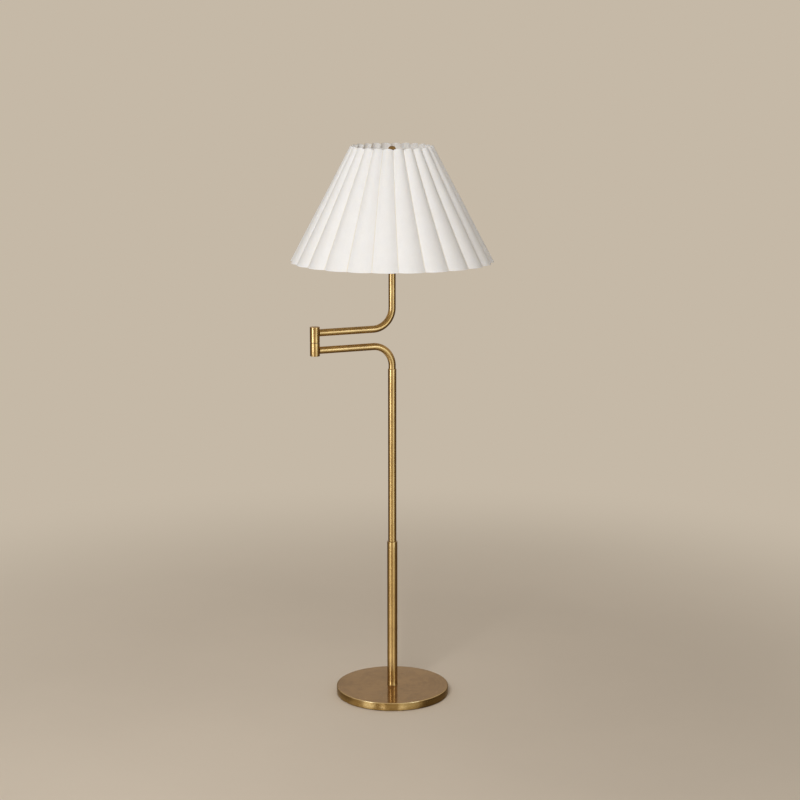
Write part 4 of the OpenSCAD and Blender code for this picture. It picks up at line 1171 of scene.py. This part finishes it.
    def knob(self) -> Surface:
        """The turn knob: a fluted barrel, r = R - d (1 + cos 16 t)^2 / 4, with an eased, dished end.

        Returns:
            The knob.
        """
        start, length, radius, flute, bore, deep = 18.5, 12.0, 6.0, 0.7, 2.02, 6.02
        t = round_steps(192)
        shape = 1.0 - flute / radius * ((1 + np.cos(16 * t)) / 2) ** 2
        rows = profile([0.0, deep], [bore, deep], [bore, 0.0], [radius * 0.93, 0.0], [radius, 0.5],
                       [radius, length - 1.0], arc(radius - 1.0, length - 1.0, 1.0, 15, 90, 5),
                       [radius * 0.62, length - 0.1], [radius * 0.5, length - 0.45], [0.0, length - 0.6])
        fluted = rows[:, :1] > radius * 0.8
        r, along = rows[:, :1] * np.where(fluted, shape, 1.0), rows[:, 1:]
        x, y = r * np.cos(t), r * np.sin(t)
        return Surface(grid(x, -start - along, self.switch_z + y), grid(x, y, along))

    def build(self) -> None:
        """Adds the head's pieces."""
        self.add("riser_collar", [self.riser_ring()], "tube_brass", "riser_ring")
        self.add("harp_wire", self.harp(), "head_brass", "harp")
        self.add("harp_sleeves", self.ferrules(), "head_brass", "harp_ferrules")
        self.add("socket_cup", [self.socket_cap()], "head_brass", "socket_cap")
        self.add("socket_barrel", self.socket_shell(), "head_brass", "socket_shell")
        z = self.screw_z
        floor = lathe(profile([6.0, z], [13.4, z], [13.4, z + 0.6], [6.0, z + 0.6]), segments=72)
        socket = self.screw_thread(r=13.9, depth=0.35, low=z, top=z + 25.0, wall=0.5)
        thread = self.screw_thread(r=13.1, depth=0.7, low=self.bulb_cap_z, top=self.bulb_cap_top, wall=0.4)
        self.add("socket_screw", [socket, floor], "nickel", "screw_shell")
        self.add("bulb_thread", [thread], "nickel", "bulb_cap")
        self.add("bulb_globe", [self.bulb()], "frosted_glass", "bulb_glass")
        self.add("switch_key", [self.knob()], "phenolic", "switch_knob", body="knob")


@dataclass
class ScallopShade(Assembly):
    """The scalloped paper cone, its wire fitter and rings, and the finial.

    Attributes:
        low_z, top_z: heights of the lower rim and of a level upper rim.
        low_r, top_r: radii to the crowns of the scallops.
        low_depth, top_depth: how deep the creases lie inside the crowns.
        panels: how many scallops go round.
        first: direction of the first crease in degrees.
        twist: how far each crease drifts round on its way up, in degrees.
        rim_rise, rim_tilt: how much higher the upper rim is cut, and how much more on its far side.
        rim_far: direction of the far side in degrees.
        uneven: how much the panels differ from each other, as a share.
        fullness: the power that rounds a panel; a higher one makes its creases sharper.
        wander: how far a crease may stray at each end, in degrees.
        ripple, waves: depth of the long waves in a panel's crown, and how many it has.
        crease_fade: share of half a panel that a crease's painted shade reaches over.
        wire_inset: how far the frame's wires lie inside the face of the creases.
        thick: thickness of the paper.
        wire, spoke_r, weld_r: radii of the rings' wire, of a spoke and of the weld at its end.
        hub_z, hub_t, hub_r, hub_bore: height, thickness, radius and hole of the washer.
        finial_r, finial_crown: radius of the finial, and height of its dome.
        seed: start of the random draws.
    """

    body: str = "upper_arm"
    low_z: float = 1090.46
    top_z: float = 1364.96
    low_r: float = 246.0
    top_r: float = 99.6
    low_depth: float = 9.5
    top_depth: float = 6.5
    panels: int = 24
    first: float = 10.4
    twist: float = -1.8
    rim_rise: float = 1.9
    rim_tilt: float = 1.9
    rim_far: float = 66.7
    thick: float = 0.7
    uneven: float = 0.07
    fullness: float = 2.2
    wander: float = 0.25
    ripple: float = 0.25
    waves: float = 1.3
    crease_fade: float = 1.0 / 22.0
    wire_inset: float = 1.3
    spoke_r: float = 1.2
    weld_r: float = 2.1
    wire: float = 1.5
    hub_z: float = 1353.06
    hub_t: float = 3.0
    hub_r: float = 11.0
    hub_bore: float = 3.05
    finial_r: float = 9.15
    finial_crown: float = 7.3
    seed: int = 7

    @property
    def lean(self) -> float:
        """How far the crowns come in for each millimetre of height."""
        return (self.low_r - self.top_r) / (self.top_z - self.low_z)

    @property
    def crease_top(self) -> float:
        """Height of the creases' upper ends, where the rim is cut square to the slant."""
        return self.top_z - self.lean * self.top_depth

    def wire_r(self, z: float) -> float:
        """Radius of a frame wire that lies against the creases inside the paper.

        Args:
            z: height of the wire.

        Returns:
            The radius of its centre line.
        """
        low, top = self.low_r - self.low_depth, self.top_r - self.top_depth
        slope = (low - top) / (self.crease_top - self.low_z)
        return low - slope * (z - self.low_z) - (self.wire_inset + self.wire) * math.hypot(1.0, slope)

    def paper(self) -> Surface:
        """The paper's closed wall.

        Across a panel s runs from -1 to 1 and the crown is 1 - |s|^fullness, so a panel is full
        and its creases are sharp. Up the panel v runs from 0 to 1; radius, depth and height
        change linearly with v. Each panel has its own small change of depth and a crease
        that wanders a little.

        Returns:
            The wall, marked 1 down in its creases for painted shade, and 0.6 of that on its inside.
        """
        rng = np.random.default_rng(self.seed)
        across, up = 24, 72
        column = np.arange(self.panels * across)
        panel, share = column // across, (column % across) / across
        s = 2.0 * share - 1.0
        v = np.linspace(0.0, 1.0, up + 1)[:, None]
        crown = 1.0 - np.abs(s) ** self.fullness
        deep = crown * (1.0 + self.uneven * rng.uniform(-1, 1, self.panels)[panel])
        drift = rng.uniform(-1, 1, (2, self.panels))
        stray = drift[0] * (1 - v) + drift[1] * v
        shift = stray[:, panel] * (1 - share) + np.roll(stray, -1, axis=1)[:, panel] * share
        angle = np.radians(self.first + 360.0 * column / column.size + self.twist * v + self.wander * shift)
        depth = self.low_depth * (1 - v) + self.top_depth * v
        base = (self.low_r - self.low_depth) * (1 - v) + (self.top_r - self.top_depth) * v
        ripple = self.ripple * np.sin(TAU * (self.waves * v + rng.uniform(0, 1, self.panels)[panel])) * crown
        radius = base + depth * deep + ripple
        cut = self.rim_rise + self.rim_tilt * np.cos(angle - math.radians(self.rim_far))
        height = self.low_z + (self.crease_top + self.lean * self.top_depth * deep + cut - self.low_z) * v
        outer, inner = (grid(r * np.cos(angle), r * np.sin(angle), height)
                        for r in (radius, radius - self.thick * math.hypot(1.0, self.lean)))
        # painted shade: the mark is 1 in each crease and falls off beside it; the inside takes 0.6 of it
        crease_shade_mask = np.clip(1.0 - (1.0 - np.abs(s)) / self.crease_fade, 0.0, 1.0) * np.ones_like(v)
        rolled = grid(radius * angle, crown * depth, v * 300.0)
        return Surface(np.concatenate([outer, inner[::-1]]), np.concatenate([rolled] * 2),
                       np.concatenate([crease_shade_mask, crease_shade_mask * 0.6]), wrap_rows=True)

    def fitter(self) -> list[Surface]:
        """The top ring, its three spokes and the washer that they are welded to.

        Returns:
            The ring, each spoke and its weld, and the washer.
        """
        low, top = self.hub_z, self.hub_z + self.hub_t
        z = (low + top) / 2
        ring_r = self.wire_r(z)
        parts = [hoop(ring_r, z, self.wire, 180)]
        for turn in np.radians((90.0, 210.0, 330.0)):
            way = np.array([math.cos(turn), math.sin(turn), 0.0])
            spoke = np.linspace(9.0, ring_r, 30)[:, None] * way + [0.0, 0.0, z]
            weld = way * (ring_r - 0.6)
            bead = lathe(arc(0.0, 0.0, self.weld_r, 90, -90, 10), (weld[0], weld[1]), 24, closed=False)
            bead.points[..., 2] = z + bead.points[..., 2] * 0.85
            parts += [sweep(spoke, self.spoke_r, ALONG_Z, sides=16), bead]
        e, r, bore = 0.5, self.hub_r, self.hub_bore
        hub = profile([bore, low], arc(r - e, low + e, e, -90, 0, 4), arc(r - e, top - e, e, 0, 90, 4), [bore, top])
        return [*parts, lathe(hub, segments=72)]

    def finial(self) -> Surface:
        """The dome: a narrow foot, a waist, an eased rim and an elliptic cap, darkest at its top and foot.

        Returns:
            The dome.
        """
        z, r = self.hub_z + self.hub_t + 0.02, self.finial_r
        dome = arc(0.0, 0.0, 1.0, 0.0, 90.0, 21) * (r, self.finial_crown) + (0.0, z + 3.2)
        line = profile([0.0, z], [6.0, z], [6.0, z + 0.5], [5.2, z + 1.1], [5.4, z + 1.7], [8.3, z + 2.2],
                       [r - 0.15, z + 2.5], dome)
        line[-1, 0] = 0.0
        return lathe(line, segments=96, closed=False, mark=np.where(line[:, 0] > 0.8 * r, -0.25, -0.5))

    def build(self) -> None:
        """Adds the shade's pieces."""
        self.add("scalloped_paper", [self.paper()], "shade_paper", "shade_paper", sharp_deg=22.0)
        self.add("shade_spider", self.fitter(), "white_wire", "shade_fitter")
        z = self.low_z + 6.0
        self.add("lower_ring", [hoop(self.wire_r(z), z, self.wire, 320)], "white_wire", "shade_lower_wire")
        self.add("dome_finial", [self.finial()], "head_brass", "finial")


# The studio ---------------------------------------------------------------


@dataclass(frozen=True)
class Softbox:
    """A square area light behind a grid. Its distance, height, size and aim are in metres.

    Attributes:
        bearing: degrees to the right of the camera, seen from the lamp.
        radiance: brightness of its face, straight on.
        aim: the height that it is aimed at.
        spread: how widely the grid lets the light fan out, in degrees.
        off: how far to the left of the lamp it is aimed, in degrees.
    """

    name: str = "key"
    bearing: float = -16.0
    distance: float = 3.0
    height: float = 2.5
    size: float = 1.3
    radiance: float = 15.8
    colour: Colour = (0.985, 0.995, 1.0)
    aim: float = 0.75
    spread: float = 100.0
    off: float = 12.0

    def place(self, camera_bearing: float) -> None:
        """Adds the light, which lights faces and leaves reflections to the cards.

        Args:
            camera_bearing: direction of the camera from the lamp, in degrees.
        """
        data = bpy.data.lights.new(self.name, "AREA")
        data.shape, data.size, data.size_y = "RECTANGLE", self.size, self.size
        half = math.radians(self.spread) / 2
        data.energy = self.radiance * math.pi * self.size * self.size * (1 - half / math.tan(half))
        data.color, data.spread = self.colour, 2 * half
        light = bpy.data.objects.new(self.name, data)
        bpy.context.scene.collection.objects.link(light)
        turn = math.radians(camera_bearing + self.bearing)
        light.location = (self.distance * math.cos(turn), self.distance * math.sin(turn), self.height)
        aimed = Matrix.Rotation(math.radians(self.off), 3, "Z") @ (Vector((0, 0, self.aim)) - light.location)
        light.rotation_euler = aimed.to_track_quat("-Z", "Y").to_euler()
        light.visible_camera = light.visible_glossy = False


@dataclass(frozen=True)
class Card:
    """A curved card round the lamp that only reflections see, bright as a window or dark as a flag.

    Attributes:
        start, end: its two sides, in degrees to the right of the camera, seen from the lamp.
        low, top: heights of its edges in millimetres.
        glow: its brightness at the upper edge.
        dim: brightness at the lower edge, as a share of that at the upper one.
        distance: its radius in millimetres.
    """

    name: str
    start: float
    end: float
    low: float
    top: float
    glow: Colour
    dim: float = 1.0
    distance: float = 3000.0

    def place(self, camera_bearing: float) -> None:
        """Adds the card, whose light falls off evenly towards its lower edge.

        Args:
            camera_bearing: direction of the camera from the lamp, in degrees.
        """
        t = np.radians(camera_bearing + np.linspace(self.start, self.end, 24))[:, None]
        points = grid(self.distance * np.cos(t), self.distance * np.sin(t), np.array([self.low, self.top]))
        piece = build_piece(self.name, [Surface(points, points, wrap_cols=False)])
        material = bpy.data.materials.new(self.name)
        g = Graph(material, "ShaderNodeOutputMaterial")
        strength: Value = 1.0
        if self.dim < 1.0:
            height = g.node("ShaderNodeSeparateXYZ", {0: g.place()}).outputs["Z"]
            strength = g.range(height, self.low * MM, self.top * MM, self.dim, 1.0)
        g.show(g.node("ShaderNodeEmission", {"Color": (*self.glow, 1.0), "Strength": strength}).outputs[0])
        material.cycles.emission_sampling = "NONE"
        piece.data.materials.append(material)
        for ray in ("camera", "diffuse", "transmission", "volume_scatter", "shadow"):
            setattr(piece, "visible_" + ray, False)


CARDS = (
    Card("left_window", -56.0, -36.0, -430.0, 1100.0, (6.4, 7.2, 8.8), 0.21),
    Card("left_sill", -67.0, -34.0, -960.0, -430.0, (1.05, 1.05, 1.1)),
    Card("left_pane", -62.0, -39.0, -1500.0, -960.0, (1.7, 1.75, 1.9)),
    Card("middle_pane", -25.0, -15.0, -1500.0, -960.0, (2.7, 2.75, 2.9)),
    Card("right_window", 16.0, 40.0, -430.0, 1100.0, (1.3, 1.4, 1.45)),
    Card("right_sill", 16.0, 40.0, -960.0, -430.0, (0.92, 0.98, 1.0)),
    Card("right_edge", 40.0, 54.0, -430.0, 2000.0, (3.3, 3.8, 4.6), 0.3),
    Card("right_pane", 12.0, 29.0, -1500.0, -960.0, (1.6, 1.65, 1.8)),
    Card("left_flag", -172.0, -88.0, -960.0, 1000.0, (0.13, 0.10, 0.07)),
    Card("left_shade", -172.0, -100.0, -1500.0, -960.0, (0.40, 0.33, 0.23)),
    Card("right_flag", 64.0, 172.0, -960.0, 1000.0, (0.13, 0.10, 0.07)),
    Card("right_shade", 58.0, 172.0, -1350.0, -960.0, (0.22, 0.17, 0.11)),
    Card("lower_flag", 56.0, 176.0, -6000.0, -1350.0, (0.12, 0.09, 0.06)),
    Card("under_flag", -180.0, 180.0, -6000.0, -1500.0, (0.13, 0.10, 0.07), distance=1200.0),
)


@dataclass
class Studio:
    """The camera, the lights, the world and the pale floor.

    Attributes:
        camera_distance, camera_height: the camera's place from the lamp's axis and the floor, in metres.
        bearing: direction of the camera from the lamp, in degrees.
        pitch, yaw: how far it looks down, and to the right of the lamp, in degrees.
        lens, sensor: focal length and width of the sensor.
        backdrop, floor: colours of the backdrop and the floor.
        daylight, ambient: colour and strength of the light from all round.
    """

    camera_distance: float = 4.5352
    camera_height: float = 1.6241
    bearing: float = -113.33
    pitch: float = 10.916
    yaw: float = 0.241
    lens: float = 85.0
    sensor: float = 36.0
    backdrop: Colour = (0.560, 0.484, 0.386)
    floor: Colour = (0.82, 0.705, 0.575)
    daylight: Colour = (1.0, 0.955, 0.885)
    ambient: float = 0.315

    def camera(self) -> None:
        """Sets the camera where the photograph was taken from."""
        data = bpy.data.cameras.new("camera")
        data.lens, data.sensor_width = self.lens, self.sensor
        camera = bpy.data.objects.new("camera", data)
        bpy.context.scene.collection.objects.link(camera)
        turn, far = math.radians(self.bearing), self.camera_distance
        camera.location = (far * math.cos(turn), far * math.sin(turn), self.camera_height)
        heading = self.bearing + 180.0 - self.yaw
        camera.rotation_euler = (math.radians(90.0 - self.pitch), 0.0, math.radians(heading - 90.0))
        bpy.context.scene.camera = camera

    def world(self) -> None:
        """A flat backdrop where it is seen, also in metal and glass, and a neutral light elsewhere."""
        world = bpy.data.worlds.new("studio")
        g = Graph(world, "ShaderNodeOutputWorld")
        rays = g.node("ShaderNodeLightPath").outputs
        seen = rays["Is Camera Ray"]
        for name in ("Is Glossy Ray", "Is Transmission Ray"):
            seen = g.node("ShaderNodeMath", {0: seen, 1: rays[name]}, operation="MAXIMUM").outputs[0]
        light = g.node("ShaderNodeBackground", {"Color": (*self.daylight, 1.0), "Strength": self.ambient})
        back = g.node("ShaderNodeBackground", {"Color": (*self.backdrop, 1.0)})
        g.show(g.mix(seen, light.outputs[0], back.outputs[0]))
        bpy.context.scene.world = world

    def ground(self) -> None:
        """A plain pale floor that keeps the shadow, fades into the backdrop, and is clear from below."""
        rows = np.concatenate([np.linspace(0.0, 2000.0, 21), [4000.0, 9000.0, 30000.0]])
        ground = build_piece("floor", [lathe(grid(rows, -0.1), segments=96, closed=False)])
        if ground.data.polygons[0].normal.z < 0:
            ground.data.flip_normals()
        g = Paint("floor")
        drift = g.noise(g.place(), 1.6, 4.0)
        g.set(Base_Color=g.blend(g.range(drift, 0.3, 0.7), self.floor, shade_of(self.floor, 0.965)),
              Roughness=0.9, Specular_IOR_Level=0.2)
        distance = g.node("ShaderNodeVectorMath", {0: g.place()}, operation="LENGTH").outputs["Value"]
        glow = g.node("ShaderNodeEmission", {"Color": (*self.backdrop, 1.0)}).outputs[0]
        faded = g.mix(g.range(distance, 0.5, 2.3), g.shader.outputs[0], glow)
        below = g.node("ShaderNodeNewGeometry").outputs["Backfacing"]
        g.show(g.mix(below, faded, g.node("ShaderNodeBsdfTransparent").outputs[0]))
        ground.data.materials.append(g.material)
        ground.visible_glossy = False

    def build(self) -> None:
        """Sets up the whole studio."""
        self.camera()
        self.world()
        self.ground()
        for piece in (Softbox(), *CARDS):
            piece.place(self.bearing)
        bpy.context.scene.view_settings.view_transform = "Standard"
        LOG.info("studio: a softbox and %d cards", len(CARDS))


def dress_nodes(frame: dict, wardrobe: Wardrobe) -> None:
    """Gives every CAD node that still shows the material of its slot in the record.

    Args:
        frame: the loaded frame, with its record and nodes.
        wardrobe: the finishes.
    """
    slots = {part["node"]: part["material_slot"] for part in frame["record"]["subparts"]}
    for name, node in frame["nodes"].items():
        if not node.hide_render:
            wardrobe.dress(node, slots[name])
            LOG.info("%s: kept, %s", name, slots[name])


def main() -> None:
    """Builds the studio and the lamp."""
    logging.basicConfig(level=logging.INFO, format="%(name)s: %(message)s", stream=sys.stdout)
    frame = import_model()
    Studio().build()
    wardrobe = Wardrobe()
    for assembly in (RoundBase, Stem, SwingArms, Head, ScallopShade):
        assembly(wardrobe).build()
    dress_nodes(frame, wardrobe)


if __name__ == "__main__":
    main()
